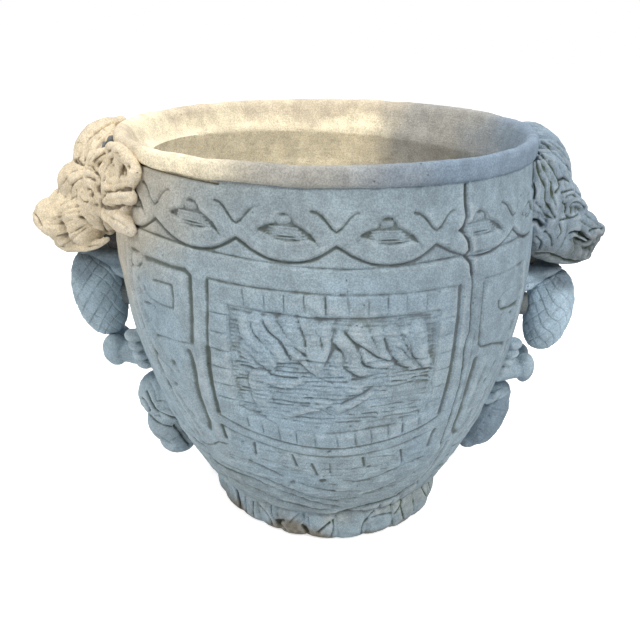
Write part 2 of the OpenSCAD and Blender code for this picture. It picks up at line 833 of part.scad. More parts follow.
bowl();
drain_sleeve();
wall_hoops();
wall_uprights();
floor_bars();
foot_ring();
foot_mortar();
foot_dowels();
left() lion_head();  // left_lion_head
left() head_mortar();  // left_head_mortar
left() head_dowels();  // left_head_dowels
left() chin_bracket();  // left_chin_bracket
left() pine_cone();  // left_pine_cone
left() cone_mortar();  // left_cone_mortar
left() cone_dowel();  // left_cone_dowel
left() berries();  // left_berries
left() ribbed_drop();  // left_ribbed_drop
left() seed_pod();  // left_seed_pod
left() berry_mortar();  // left_berry_mortar
left() pod_mortar();  // left_pod_mortar
left() pod_dowel();  // left_pod_dowel
lion_head();  // right_lion_head
head_mortar();  // right_head_mortar
head_dowels();  // right_head_dowels
chin_bracket();  // right_chin_bracket
pine_cone();  // right_pine_cone
cone_mortar();  // right_cone_mortar
cone_dowel();  // right_cone_dowel
berries();  // right_berries
ribbed_drop();  // right_ribbed_drop
seed_pod();  // right_seed_pod
berry_mortar();  // right_berry_mortar
pod_mortar();  // right_pod_mortar
pod_dowel();  // right_pod_dowel
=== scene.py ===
"""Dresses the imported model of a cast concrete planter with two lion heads."""

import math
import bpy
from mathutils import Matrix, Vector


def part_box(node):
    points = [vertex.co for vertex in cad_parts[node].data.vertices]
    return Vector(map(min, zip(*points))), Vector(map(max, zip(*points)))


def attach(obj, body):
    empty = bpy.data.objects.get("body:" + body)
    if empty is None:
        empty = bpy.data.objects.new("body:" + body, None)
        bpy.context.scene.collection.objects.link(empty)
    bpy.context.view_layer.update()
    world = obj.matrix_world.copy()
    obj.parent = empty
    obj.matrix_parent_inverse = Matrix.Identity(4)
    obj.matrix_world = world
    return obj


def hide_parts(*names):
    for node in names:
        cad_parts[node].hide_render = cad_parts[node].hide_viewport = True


bl_info = {
    "name": "Lion head planter",
    "version": (1, 0),
    "blender": (4, 5, 0),
    "location": "View3D > Sidebar > Planter",
    "description": "Carved bowl, lion heads, hanging fruit and foot of a cast concrete planter",
    "category": "Object",
}

import bmesh
import bpy
import numpy as np
from mathutils import Matrix, Vector
from mathutils.bvhtree import BVHTree

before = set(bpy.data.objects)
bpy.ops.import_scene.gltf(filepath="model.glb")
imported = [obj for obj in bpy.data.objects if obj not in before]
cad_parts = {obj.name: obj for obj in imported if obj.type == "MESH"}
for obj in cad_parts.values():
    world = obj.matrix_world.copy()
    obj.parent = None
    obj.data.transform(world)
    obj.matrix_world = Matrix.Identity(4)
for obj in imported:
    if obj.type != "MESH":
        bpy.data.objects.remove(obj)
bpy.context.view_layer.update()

# The view: its turns in radians, its place in metres, and its picture in pixels
VIEW_PITCH, VIEW_YAW, VIEW_ROLL = 0.5831, 0.1509, 0.0810
VIEW_PLACE = (-0.02990, -1.25202, 0.83346)
PICTURE, FOCUS = 640, 728.84
CENTRE_X, CENTRE_Y = 405.10, 475.09

# Bowl, in millimetres. Its side is widest at the belly, and curves in below and above it
BELLY_R = 337.0
BELLY_Z = 470.0
LOWER_CURVE = 762.0
UPPER_CURVE = 640.0
WALL = 42.0
BOWL_Z = 68.0
FLOOR_Z = 116.0
DRAIN_R = 19.0
LIP_SLOPE = math.tan(math.radians(2.6))
TURN = 2 * math.pi * BELLY_R
HALF_TURN = TURN / 2
# Spacing of the carved net: rows as a share of the panel's step, the back's step, beside the panels
ROW_SHARE, BACK_SHARE, SIDE_STEP = 0.85, 1.35, 4.2
FRIEZE_COLUMNS, FRIEZE_ROWS = 1058, 70

# Carved slabs: thickness, heights of the frieze, how far its top leans with the lip, and unevenness
SLAB = 15
FRIEZE_FROM = 512.0
FRIEZE_TO = 634.0
FRIEZE_LEAN = 10
WALL_WAVES = ((60, 1, 1.3), (22, 2, 0.6), (9, 3, 0.34), (4.4, 4, 0.24))
CORE_WAVES = ((74, 21, 1.5), (27, 22, 0.8), (9, 23, 0.4))

# Profile of the lip, from under its outer edge over the top into the hollow: radius, height
LIP = (
    (318.4, 630.4), (320.6, 632), (321.9, 635), (322.4, 639), (322.4, 645), (321.8, 650), (320, 653.4),
    (317, 655.2), (312.5, 655.6), (308, 654.6), (304.5, 652.4), (301.5, 649), (298.8, 644), (296, 637.5),
    (293, 630), (290, 622), (287.2, 614),
)

# Frieze. Places on the bowl are (distance round it from the front's middle, height)
CUSPS = (-405, -272, -133, 0, 139, 300)
UNIT = 135
SCALLOP = (
    (0, 562), (10, 557), (20, 551), (32, 546), (45, 541.5), (58, 539.5), (72, 539), (86, 540), (100, 543),
    (112, 548), (124, 555), (135, 562),
)
VEE = (
    (-33, 602), (-26, 601), (-19, 597), (-12, 590), (-6, 583), (0, 579.5), (7, 584), (12, 590), (17, 596),
    (23, 601), (30, 602.5),
)
EYE = (
    (30, 576), (38, 581), (46, 584), (52.5, 586), (54, 591), (58, 596), (65, 598.5), (72, 597), (77, 592),
    (80, 587), (87, 584),
    (95, 580), (101, 575), (107, 567), (98, 569), (90, 567), (80, 565), (68, 564.5), (56, 566), (46, 569),
    (38, 573),
)
FRIEZE_FOOT = (
    (-360, 541), (-300, 540.5), (-170, 539), (-130, 538), (-80, 536.5), (-30, 534.5), (20, 534.5),
    (60, 536.5), (100, 539), (150, 542), (200, 544), (330, 545),
)
BUD = ((60, 590), (70, 591))
LEFT_VEIN = ((34, 577), (30, 572), (26, 569))
RIGHT_VEIN = ((100, 576), (107, 568), (112, 562))
LIP_CRACK = ((-350, 628), (-230, 627), (-163, 625))

# Lines cut round and beside the panel: width, depth, places
FRAME_LINES = (
    (2.2, 3.2, ((-177, 503.5), (-140, 503), (0, 501.5), (100, 502), (150, 504), (181, 503))),
    (4.6, 7, ((183, 501), (184, 480), (186, 440), (187, 400), (188, 370), (189, 330), (189, 291))),
    (3.2, 4.5, ((-178, 501), (-180, 460), (-184, 430), (-187, 402))),
    (4.8, 7, ((-187, 402), (-191, 370), (-193, 330), (-194, 290))),
    (2.8, 4, ((-192, 284), (-170, 277), (-150, 270), (-120, 262), (-90, 256), (-60, 251), (-30, 248),
        (0, 246), (30, 248), (60, 252), (90, 257), (120, 263), (150, 271), (187, 284))),
    (3.4, 3.2, ((-195, 263), (-160, 254), (-130, 246), (-90, 237), (-50, 231), (0, 228), (50, 231),
        (100, 239), (150, 250), (184, 261))),
    (1.9, 2.8, ((-147, 473), (-100, 472), (-60, 470), (-20, 468), (20, 469.5), (60, 470), (100, 471),
        (150, 473))),
    (1.7, 1.8, ((-147, 473), (-148, 440), (-150, 400), (-151, 360), (-153, 330), (-150, 312))),
    (2.2, 3, ((-150, 312), (-130, 304), (-110, 296), (-90, 288), (-60, 282), (-30, 279), (0, 278),
        (30, 281), (60, 285), (90, 288), (120, 293), (153, 303))),
    (1.6, 1.4, ((150, 473), (151, 430), (152, 400), (154, 378))),
    (2.2, 3.4, ((154, 378), (156, 350), (156, 320), (155, 305))),
    (1.5, 1.6, ((-132, 466), (-100, 465), (-80, 466))),
    (1.5, 1.5, ((0, 465), (50, 464), (150, 463))),
    (1.5, 1.8, ((8, 460), (60, 457), (100, 456), (150, 453))),
    (1.5, 1.5, ((48, 453), (90, 452), (130, 450))),
    (4.6, 5.5, ((-298, 503), (-280, 505), (-240, 505.5), (-216, 506), (-206, 501))),
    (4.8, 6, ((-206, 501), (-207, 470), (-209, 440), (-212, 418), (-215, 403))),
    (2.4, 3, ((-214, 401), (-240, 396), (-270, 393), (-300, 387))),
    (2.4, 3.4, ((-283, 476), (-266, 479), (-243, 480))),
    (3.4, 3.6, ((-241, 479), (-240, 462), (-243, 448))),
    (2.2, 3, ((-243, 446), (-270, 444), (-296, 444), (-310, 449), (-313, 458))),
    (2.4, 3.4, ((-322, 432), (-308, 435), (-290, 434))),
    (1.8, 1.6, ((-275, 437), (-262, 433))),
    (2, 2.4, ((-345, 505), (-315, 507), (-300, 503))),
    (2.4, 3, ((-345, 481), (-322, 486), (-312, 492), (-309, 500))),
    (6.5, 6.5, ((-226, 384), (-222, 366), (-224, 345), (-228, 325), (-229, 300), (-228, 275), (-227, 258),
        (-232, 243))),
    (2.2, 3, ((-196, 222), (-220, 218), (-240, 205), (-264, 195), (-290, 192))),
    (2, 2.4, ((233, 505), (260, 503.5), (300, 504), (345, 504))),
    (3.2, 4, ((232, 498), (233, 470), (235, 440), (239, 415), (241, 403))),
    (2.8, 4.4, ((240, 402), (250, 394), (280, 390), (300, 385), (325, 377))),
    (3, 4.4, ((276, 462), (279, 452), (288, 446), (305, 443), (322, 441), (345, 440))),
    (1.8, 2.4, ((290, 436), (318, 432), (330, 429))),
    (1.8, 1.8, ((305, 474), (330, 472))),
    (2, 2, ((276, 462), (284, 470), (300, 474))),
    (6.5, 6.5, ((243, 374), (243, 340), (244, 310), (247, 280), (248, 252), (254, 232), (264, 222))),
    (3, 2.6, ((228, 497), (227, 440), (226, 400), (229, 340), (233, 290), (236, 240))),
    (4, 6.5, ((-196, 261), (-196, 236))),
    (3.4, 5.5, ((-138, 241), (-141, 216))),
    (3.2, 5.5, ((-71, 227), (-65, 203))),
    (3.4, 5.5, ((-37, 209), (-28, 182))),
    (2.4, 3.6, ((-4, 214), (-3, 190))),
    (3.2, 5.5, ((55, 223), (60, 203))),
    (2.4, 5, ((125, 231), (139, 196))),
    (6.5, 7, ((190, 254), (190, 222))),
    (2, 2.6, ((-128, 206), (-104, 202), (-98, 212), (-90, 224), (-78, 224))),
    (1.8, 2, ((-106, 229), (-96, 228), (-92, 221))),
    (1.8, 2.2, ((-178, 240), (-168, 246), (-158, 242), (-160, 233), (-168, 230))),
    (1.8, 2, ((-186, 226), (-170, 223), (-152, 224))),
    (1.8, 2.2, ((-54, 214), (-48, 220), (-42, 216))),
    (1.8, 2.2, ((8, 208), (18, 214), (28, 210), (40, 214))),
    (1.8, 2, ((68, 212), (80, 218), (92, 214), (104, 218))),
    (1.8, 2.4, ((64, 198), (70, 188), (62, 178))),
    (2, 2.4, ((150, 244), (164, 234), (178, 226))),
    (1.8, 2, ((106, 205), (116, 212), (124, 206))),
    (2, 2.6, ((-141, 212), (-118, 204), (-95, 198), (-60, 190), (-30, 176))),
    (2, 2, ((66, 196), (90, 196), (120, 192), (138, 194))),
)
BRICK_TOPS = (-124, -95, -68, -41, -13, 17, 44, 71, 98, 128)
BRICK_FEET = (-139, -115, -87, -59, -29, 6, 36, 63, 91, 116, 144)
BRICKS_LEFT = (458, 430.5, 403.5, 375.5, 347.5, 323)
BRICKS_RIGHT = (459, 433, 405, 377, 348, 322)
OPEN_TOP, OPEN_FOOT = -13, 116  # the two joints between bricks that have opened
# Outlines in and beside the panel: the sunk ground, its deeper part, two groups of leaves, the post
PANEL_GROUND = (
    (-150, 472), (0, 473), (150, 472), (151, 390), (150, 306), (75, 284), (0, 277), (-75, 284), (-150, 306),
    (-151, 390),
)
PANEL_SINK = (
    (-147, 472), (0, 469), (150, 472), (153, 400), (156, 303), (90, 288), (0, 279), (-90, 289), (-150, 312),
    (-151, 400),
)
LEFT_LEAVES = (
    (-128, 465), (-60, 467), (-4, 462), (-4, 400), (-24, 378), (-60, 405), (-100, 385), (-130, 400),
)
RIGHT_LEAVES = ((4, 448), (60, 455), (128, 450), (148, 385), (100, 390), (40, 380), (4, 400))
LEFT_POST = ((-204, 504), (-197, 504), (-197, 300), (-206, 230), (-216, 230), (-217, 400))
# Combed strands: highest, lowest, spacing, half length of a row, depth, seed
COMBS = ((404, 296, 7.0, 146, 3.0, 17), (468, 404, 8.0, 146, 1.4, 18), (230, 84, 8.0, 205, 1.8, 19))

# Lines cut in the panel's hanging leaves and drapery: width, depth, places
LEAF_LINES = (
    (1.6, 2.2, ((-115, 461), (-115, 450), (-112, 441), (-104, 430))),
    (2, 3.6, ((-98, 459), (-94, 450), (-89, 443), (-80, 436), (-73, 430), (-69, 422), (-66, 412),
        (-62, 404))),
    (1.6, 2.8, ((-95, 432), (-90, 430), (-85, 421))),
    (1.6, 2.2, ((-80, 461), (-74, 455), (-70, 447), (-65, 437))),
    (1.7, 2.6, ((-49, 464), (-45, 450), (-41, 439), (-39, 428))),
    (1.7, 2.6, ((-27, 452), (-20, 441), (-17, 428))),
    (1.7, 2.8, ((-66, 428), (-55, 424), (-47, 419), (-41, 412))),
    (2, 3.8, ((-61, 411), (-51, 403), (-43, 395), (-35, 386), (-25, 378), (-14, 372), (-2, 368))),
    (1.7, 2.6, ((-131, 428), (-122, 420), (-110, 414), (-101, 409), (-95, 403), (-90, 397))),
    (2, 3.4, ((-118, 405), (-111, 397), (-104, 391), (-99, 384))),
    (1.8, 2.8, ((-90, 393), (-84, 385), (-76, 387), (-70, 397))),
    (2, 3, ((-127, 370), (-120, 380), (-109, 386), (-99, 384), (-92, 376))),
    (2, 3, ((-97, 361), (-88, 358), (-80, 354.5), (-70, 356.5), (-60, 357.5), (-50, 365))),
    (1.8, 2.4, ((-99, 352), (-93, 345), (-86, 340))),
    (2.2, 3, ((-5, 440), (-5, 425), (-9, 410), (-14, 397))),
    (2, 2.8, ((-27, 403), (-26, 391))),
    (2, 2.8, ((-127, 370), (-129, 358), (-125, 345), (-127, 331), (-121, 320), (-112, 309))),
    (1.8, 2.4, ((-92, 340), (-92, 329), (-97, 318), (-104, 311))),
    (1.8, 2.8, ((-78, 300), (-66, 305), (-50, 311), (-35, 317), (-20, 321))),
    (2, 3.4, ((-21, 326), (-14, 320), (-7, 314), (2, 311))),
    (2, 3.2, ((13, 449), (20, 442), (27, 434), (32, 427), (37, 415), (40, 403))),
    (1.6, 1.8, ((15, 442), (25, 433))),
    (2, 3.8, ((32, 432), (42, 425), (52, 418), (60, 412), (70, 408), (79, 403), (90, 402))),
    (1.7, 2.6, ((50, 443), (55, 433), (59, 425), (62, 418))),
    (2, 3.8, ((68, 439), (71, 431), (74, 421), (80, 412), (85, 405), (91, 396), (100, 392), (110, 389))),
    (2, 3.8, ((86, 426), (97, 420), (103, 412), (110, 405), (119, 395))),
    (1.9, 3.2, ((94, 444), (102, 438), (107, 430), (110, 420), (113, 410), (119, 400), (126, 394),
        (136, 385), (150, 381))),
    (2.2, 3.8, ((39, 405), (43, 398), (52, 395), (64, 393), (80, 392))),
    (1.9, 3, ((-1, 429), (6, 424), (11, 417), (12, 406), (10, 398))),
    (2.2, 3.8, ((9, 403), (13, 395), (20, 389), (27, 384), (33, 380), (45, 378), (56, 381))),
    (1.8, 2.4, ((-3, 432), (-4, 417), (-2, 404), (4, 394))),
    (1.5, 1.8, ((22, 426), (22, 408))),
    (1.6, 2.2, ((40, 387), (60, 388), (80, 389), (100, 387), (115, 383), (128, 381))),
    (1.8, 2.6, ((60, 377), (75, 377), (90, 378), (105, 374), (118, 368), (130, 364), (148, 361))),
    (1.6, 2.2, ((60, 366), (72, 364), (82, 361), (95, 360), (110, 358), (132, 358))),
    (1.7, 2.4, ((66, 341), (80, 335), (95, 333), (110, 333), (125, 329), (142, 327))),
    (1.6, 2, ((98, 320), (115, 315), (130, 312))),
    (3.2, 4, ((57, 363), (48, 354), (38, 347), (27, 341), (18, 337), (12, 332))),
    (2, 2.4, ((62, 352), (50, 341), (40, 333), (28, 326))),
    (1.7, 2.6, ((13, 358), (18, 350))),
    (1.9, 3, ((-11, 326), (-6, 318), (4, 314.5), (15, 317), (26, 323), (38, 331))),
    (1.6, 2, ((20, 317), (40, 319), (60, 320), (82, 320))),
    (1.6, 1.8, ((-140, 316), (-126, 308), (-118, 300))),
)
# Rounded forms that stand proud in the panel: half width at each end, height, places
LEAF_FORMS = (
    (10, 8, 2.6, ((-125, 452), (-120, 435), (-108, 422), (-97, 410), (-89, 400))),
    (11, 8, 2.8, ((-107, 458), (-103, 445), (-92, 433), (-82, 420), (-75, 406))),
    (11, 7, 2.6, ((-89, 458), (-81, 447), (-69, 436), (-58, 420), (-52, 409))),
    (14, 8, 2.8, ((-63, 460), (-60, 450), (-53, 437), (-47, 424))),
    (14, 9, 3, ((-38, 462), (-32, 450), (-30, 430), (-28, 410), (-26, 395))),
    (9, 7, 2.4, ((-14, 455), (-11, 440), (-12, 425), (-18, 408))),
    (9, 6, 2.3, ((-124, 419), (-112, 405), (-99, 396), (-88, 393))),
    (7, 5, 2.2, ((-128, 409), (-120, 396), (-113, 388))),
    (7, 5, 2.2, ((-57, 418), (-48, 409), (-40, 400), (-33, 391))),
    (15, 15, 3.4, ((-110, 370), (-112, 362))),
    (14, 13, 2.8, ((-113, 358), (-110, 340), (-107, 320))),
    (8, 5, 2.2, ((-98, 367), (-82, 363), (-64, 362), (-50, 370))),
    (5, 6, 2.2, ((-72, 306), (-58, 313), (-44, 319), (-30, 324), (-17, 329), (-8, 335))),
    (9, 8, 2.3, ((4, 414), (4, 400), (1, 390))),
    (10, 8, 2.6, ((6, 440), (17, 428), (25, 415), (28, 400), (39, 389))),
    (12, 8, 2.8, ((30, 450), (42, 438), (55, 425), (69, 415))),
    (9, 6, 2.3, ((39, 420), (47, 408), (60, 401), (80, 398))),
    (9, 6, 2.5, ((58, 447), (64, 434), (69, 421), (77, 411))),
    (12, 8, 2.9, ((78, 447), (84, 433), (94, 416), (106, 403), (118, 392))),
    (8, 6, 2.4, ((99, 448), (106, 436), (112, 425), (117, 413))),
    (13, 9, 2.8, ((119, 450), (123, 435), (125, 420), (129, 405), (139, 393))),
    (12, 10, 1.8, ((-20, 345), (-6, 352), (8, 349), (20, 357), (40, 366))),
    (18, 14, 1.8, ((70, 352), (90, 348), (120, 345), (146, 340))),
    (6, 5, 1.8, ((8, 325), (24, 331), (40, 341), (56, 352))),
)
# Ribbons and leaves that stand proud beside the panels
SIDE_FORMS = (
    (9, 7, 5, ((-330, 496), (-340, 462), (-338, 424), (-326, 388))),
    (8, 6, 4.5, ((-352, 500), (-364, 452), (-360, 410), (-346, 372))),
    (6, 5, 3.4, ((-318, 398), (-310, 340), (-290, 280), (-262, 222))),
    (6, 5, 3.4, ((-340, 380), (-330, 322), (-308, 262), (-284, 206))),
    (9, 6, 2.6, ((-312, 376), (-296, 352), (-270, 340))),
    (12, 9, 2.4, ((-300, 330), (-276, 300), (-252, 262))),
    (9, 9, 2.2, ((-262, 376), (-250, 350), (-246, 320))),
    (9, 7, 5, ((352, 498), (362, 460), (360, 420), (350, 382))),
    (6, 5, 3.4, ((330, 372), (322, 330), (304, 276), (280, 220))),
    (6, 5, 3.4, ((350, 366), (342, 318), (322, 262), (298, 206))),
    (11, 8, 2.4, ((300, 360), (286, 320), (274, 270))),
    (9, 9, 2.2, ((268, 372), (262, 340), (258, 310))),
    (9, 7, 2.4, ((322, 360), (310, 330), (300, 300))),
)
# Air holes: place, width, depth
PITS = (
    (-18, 166, 6, 6), (-79, 158, 6, 5), (70, 199, 4, 4), (95, 319, 3, 3.5), (110, 390, 2.6, 3.5),
    (183, 377, 3, 4), (-4, 625, 2.4, 4), (-104, 530, 1.8, 3),
    (148, 250, 4, 4), (-6, 240, 3, 4), (75, 254, 2.2, 3), (64, 297, 2, 2), (28, 291, 2, 2.4),
    (-69, 271, 2, 2), (325, 430, 3, 3), (292, 320, 4, 4),
    (322, 293, 7, 4), (310, 347, 4, 3), (-316, 297, 7, 4.5), (-270, 352, 6, 3), (-316, 352, 6, 3),
    (-282, 310, 5, 3), (-160, 238, 3.5, 3), (-26, 290, 2, 2),
    (-50, 290, 1.8, 2), (-124, 290, 1.8, 2), (129, 432, 2, 2.4), (86, 451, 1.6, 2),
)
MOULD_SEAM = (
    (190, 640), (189, 610), (191, 592), (184, 575), (195, 563), (199, 548), (190, 542), (201, 532),
    (204, 515), (206, 500), (207, 470), (211, 445), (213, 430), (209, 415),
    (208, 400), (213, 370), (217, 340), (219, 300), (220, 280), (222, 250), (225, 220), (229, 200),
    (233, 180), (222, 160), (208, 145), (200, 120), (176, 98), (165, 70),
)


def side_r(z):
    """Radius of the bowl's side at a height."""
    curve = np.where(z < BELLY_Z, LOWER_CURVE, UPPER_CURVE)
    return BELLY_R - curve + np.sqrt(curve * curve - (z - BELLY_Z) ** 2)


def side_at(z):
    """The same radius at one height, as a plain number."""
    return float(side_r(np.float64(z)))


def eased(t):
    """A share between 0 and 1, with soft ends."""
    return t * t * (3 - 2 * t)


def ramp(value, start, span):
    """Rises from 0 at the start to 1 a span further on."""
    return np.clip((value - start) / span, 0, 1)


def net_noise(u, z, cell, seed):
    """Smooth unevenness between -1 and 1 round the bowl."""
    rng = np.random.default_rng(seed)
    cols = int(round(TURN / cell))
    a, b = (u / cell) % cols, z / cell + 4
    table = rng.uniform(-1, 1, (int(b.max()) + 3, cols))
    i, j = np.floor(a).astype(int), np.floor(b).astype(int)
    fa, fb = eased(a - i), eased(b - j)

    def at(dj, di):
        return table[j + dj, (i + di) % cols]

    low = at(0, 0) * (1 - fa) + at(0, 1) * fa
    high = at(1, 0) * (1 - fa) + at(1, 1) * fa
    return low * (1 - fb) + high * fb


def net_waves(u, z, waves):
    """Unevenness of several kinds together: cell, seed and height of each."""
    total = 0
    for cell, seed, height in waves:
        total = total + net_noise(u, z, cell, seed) * height
    return total


CUBE = [(x, y, z) for x in (0, 1) for y in (0, 1) for z in (0, 1)]


def lump_noise(v, cell, seed):
    """Smooth unevenness between -1 and 1 in space."""
    n = 48
    table = np.random.default_rng(seed).uniform(-1, 1, (n, n, n))
    p = v / cell
    i = np.floor(p).astype(int)
    f = eased(p - i)
    out = np.zeros(len(v))
    for corner in CUBE:
        x, y, z = (f[:, k] if far else 1 - f[:, k] for k, far in enumerate(corner))
        spot = (i + corner) % n
        out += x * y * z * table[spot[:, 0], spot[:, 1], spot[:, 2]]
    return out


def blurred(h, reach, closed):
    """The net of heights with everything finer than reach taken out."""
    span = 2 * reach + 1
    for _ in range(2):
        for axis in (0, 1):
            mode = "wrap" if closed and axis else "edge"
            wide = np.pad(h, [(reach, reach) if a == axis else (0, 0) for a in (0, 1)], mode=mode)
            total = np.insert(np.cumsum(wide, axis), 0, 0, axis)
            low = np.arange(h.shape[axis])
            h = (np.take(total, low + span, axis) - np.take(total, low, axis)) / span
    return h


class Carving:
    """Heights in millimetres over a net of columns round the bowl and rows up it."""

    def __init__(self, columns, rows):
        self.u, self.z = np.asarray(columns, float), np.asarray(rows, float)
        self.base = np.zeros((len(self.z), len(self.u)))
        self.forms = np.zeros_like(self.base)
        self.cuts = np.zeros_like(self.base)

    def window(self, points, reach):
        """The part of the net near the points. It is wider sideways, because the bowl narrows below."""
        p = np.asarray(points, float)
        (u0, z0), (u1, z1) = p.min(0), p.max(0)
        aside = reach * 1.6
        across = slice(np.searchsorted(self.u, u0 - aside), np.searchsorted(self.u, u1 + aside))
        up = slice(np.searchsorted(self.z, z0 - reach), np.searchsorted(self.z, z1 + reach))
        return (up, across), p

    def distance(self, area, p, closed=False):
        """Distance from the line through the points, and the share along it."""
        u, z = np.meshgrid(self.u[area[1]], self.z[area[0]])
        squeeze = side_r(z) / BELLY_R
        best, along = np.full(u.shape, 1e9), np.zeros(u.shape)
        ends = list(zip(p, np.roll(p, -1, 0) if closed else p[1:]))
        lengths = np.array([0.0] + [float(np.hypot(*(b - a))) for a, b in ends])
        total = lengths.sum() or 1.0
        for k, (a, b) in enumerate(ends):
            ax, ay = (b[0] - a[0]) * squeeze, b[1] - a[1]
            px, py = (u - a[0]) * squeeze, z - a[1]
            t = np.clip((px * ax + py * ay) / np.maximum(ax * ax + ay * ay, 1e-9), 0, 1)
            d = np.hypot(px - t * ax, py - t * ay)
            near = d < best
            best[near] = d[near]
            along[near] = ((lengths[: k + 1].sum() + t * lengths[k + 1]) / total)[near]
        return u, z, best, along

    def cut(self, points, width, depth):
        """A round-bottomed line."""
        area, p = self.window(points, width * 3)
        if self.cuts[area].size:
            _, _, d, _ = self.distance(area, p)
            self.cuts[area] = np.maximum(self.cuts[area], depth * np.exp(-((d / width) ** 2) * 1.1))

    def form(self, points, start, end, height):
        """A rounded form along the points."""
        area, p = self.window(points, max(start, end) + 2)
        if self.forms[area].size:
            _, _, d, t = self.distance(area, p)
            w = start + (end - start) * t
            self.forms[area] = np.maximum(self.forms[area], height * np.clip(1 - (d / w) ** 2, 0, 1) ** 0.7)

    def area(self, points, level, soft):
        """Raises or lowers what lies inside an outline, with a soft edge."""
        area, p = self.window(points, soft * 2)
        if self.base[area].size:
            u, z, d, _ = self.distance(area, p, True)
            inside = np.zeros(u.shape, bool)
            for a, b in zip(p, np.roll(p, -1, 0)):
                if a[1] != b[1]:
                    edge = (b[0] - a[0]) * (z - a[1]) / (b[1] - a[1]) + a[0]
                    inside ^= ((a[1] > z) != (b[1] > z)) & (u < edge)
            t = np.clip(np.where(inside, d, -d) / soft * 0.5 + 0.5, 0, 1)
            self.base[area] += level * t * t * (3 - 2 * t)

    def heights(self):
        u, z = np.meshgrid(self.u, self.z)
        return self.base + self.forms - self.cuts + net_waves(u, z, WALL_WAVES)


def moved(points, by):
    return tuple((u + by, z) for u, z in points)


def carve_frieze(c):
    """Interlaced waves with a leaf in each, all round, and the open seam of the mould."""
    step = (TURN + CUSPS[0] - CUSPS[-1]) / 10
    cusps = list(CUSPS) + [CUSPS[-1] + step * i for i in range(1, 11)]
    cusps = [u - TURN for u in cusps[:-1]] + cusps
    for a, b in zip(cusps, cusps[1:]):
        k = (b - a) / UNIT

        def on(points):
            return tuple((a + x * k, z) for x, z in points)

        c.cut(on(SCALLOP), 2.4, 4.4)
        c.area(on(EYE), -4.6, 2.2)
        for j in range(4):
            leaf = [(x, 568.2 + j * 4.1 + 3.2 * ((x - 68) / 30) ** 2 * (1 - j * 0.28))
                    for x in np.linspace(41 + j * 1.5, 96 - j * 4, 8)]
            c.form(on(leaf), 2.0, 1.8, 2.3)
        c.form(on(BUD), 6, 5, 3)
        c.cut(on(LEFT_VEIN), 1.7, 1.4)
        c.cut(on(RIGHT_VEIN), 1.9, 2.2)
        c.area(tuple(on(SCALLOP[6:])) + tuple((b + x * k, z) for x, z in SCALLOP[1:6]), -1.8, 4)
    for a in cusps:
        c.cut(moved(VEE[:7], a), 2.0, 3.8)
        c.cut(moved(VEE[5:], a), 2.0, 2.6)
        c.area(moved(VEE, a) + ((a, 606),), 1.4, 5)
    for by in (0, HALF_TURN, -HALF_TURN):
        c.cut(moved(FRIEZE_FOOT, by), 2.0, 2.8)
    c.cut(LIP_CRACK, 2.2, 8)
    c.cut(MOULD_SEAM, 2.2, 3.8)
    c.cut(MOULD_SEAM[:9], 3.0, 7.5)


def comb(c, by, top, low, pitch, reach, depth, seed):
    """Fine level strands, as a comb leaves them: broken, wavy and uneven."""
    pick = np.random.default_rng(seed)
    for j, z in enumerate(np.arange(top, low, -pitch)):
        x = -reach + pick.uniform(0, 10)
        while x < reach - 12:
            end = min(reach, x + pick.uniform(22, 64))
            rise, lift = pick.uniform(-0.04, 0.04), pick.uniform(-1.2, 1.2)
            path = [(by + q, z + lift + rise * (q - x) + 0.9 * math.sin(q * 0.13 + j * 1.9))
                    for q in np.linspace(x, end, 5)]
            c.cut(path, 2.3, depth * pick.uniform(0.5, 1.2))
            x = end + pick.uniform(3, 14)


def carve_bricks(c, by):
    """Joints between the bricks of the panel's frame."""
    for u in BRICK_TOPS:
        width, depth = (2.4, 3.6) if u == OPEN_TOP else (1.7, 2.4)
        c.cut(((by + u - 1, 498), (by + u, 486), (by + u + 0.5, 475)), width, depth)
    for u in BRICK_FEET:
        width, depth = (2.6, 4) if u == OPEN_FOOT else (1.9, 2.6)
        z = 246 + 30 * (abs(u) / 150) ** 2
        c.cut(((by + u - 1, z + 30), (by + u + (3 if u > 0 else 0), z + 6)), width, depth)
    for z in BRICKS_LEFT:
        c.cut(((by - 180 - (460 - z) * 0.09, z), (by - 151, z - 0.5)), 1.7, 2.4)
    for z in BRICKS_RIGHT:
        c.cut(((by + 153, z - 1), (by + 184, z + 1)), 1.7, 2.2)


def carve_strands(c, by):
    """Short strands at the panel's sides, and longer ones between its forms."""
    for j, z in enumerate(np.arange(452, 403, -5.6)):
        c.cut(((by - 146, z), (by - 138, z - 0.8), (by - 131 - (j % 3), z + 0.4)), 1.4, 1.3)
        c.cut(((by + 131 + (j % 3) * 2, z - 4), (by + 141, z - 5), (by + 149, z - 4.2)), 1.4, 1.2)
    for j, z in enumerate(np.arange(381, 316, -5)):
        c.cut(((by - 149, z), (by - 139, z - 1.6), (by - 128 + (j % 2) * 3, z - 2.4)), 1.4, 1.5)
    for j, z in enumerate(np.arange(352, 318, -4.6)):
        strand = [(by + x, z + 0.9 * math.sin(x * 0.16 + j * 1.3) + 0.02 * (x + 60))
                  for x in np.linspace(-88 + j, -22 - j * 4, 9)]
        c.cut(strand, 1.4, 1.1)
    for j in range(7):
        strand = [(by + x, 392 - j * 5.4 - 9 * ((x + 60) / 60) ** 0.8 + 0.8 * math.sin(x * 0.2 + j))
                  for x in np.linspace(-58, -4, 8)]
        c.cut(strand, 1.4, 1.1)
    for j in range(5):
        strand = [(by + x, 372 - j * 4.8 + 0.8 * math.sin(x * 0.25 + j))
                  for x in np.linspace(14 + j, 46 - j * 3, 6)]
        c.cut(strand, 1.3, 1.0)
    for j in range(4):
        strand = [(by + x, 352 - j * 5.5 + 4 * math.sin((x - 64) / 30) + 0.6 * math.sin(x * 0.2))
                  for x in np.linspace(66, 146, 9)]
        c.cut(strand, 1.4, 0.9)


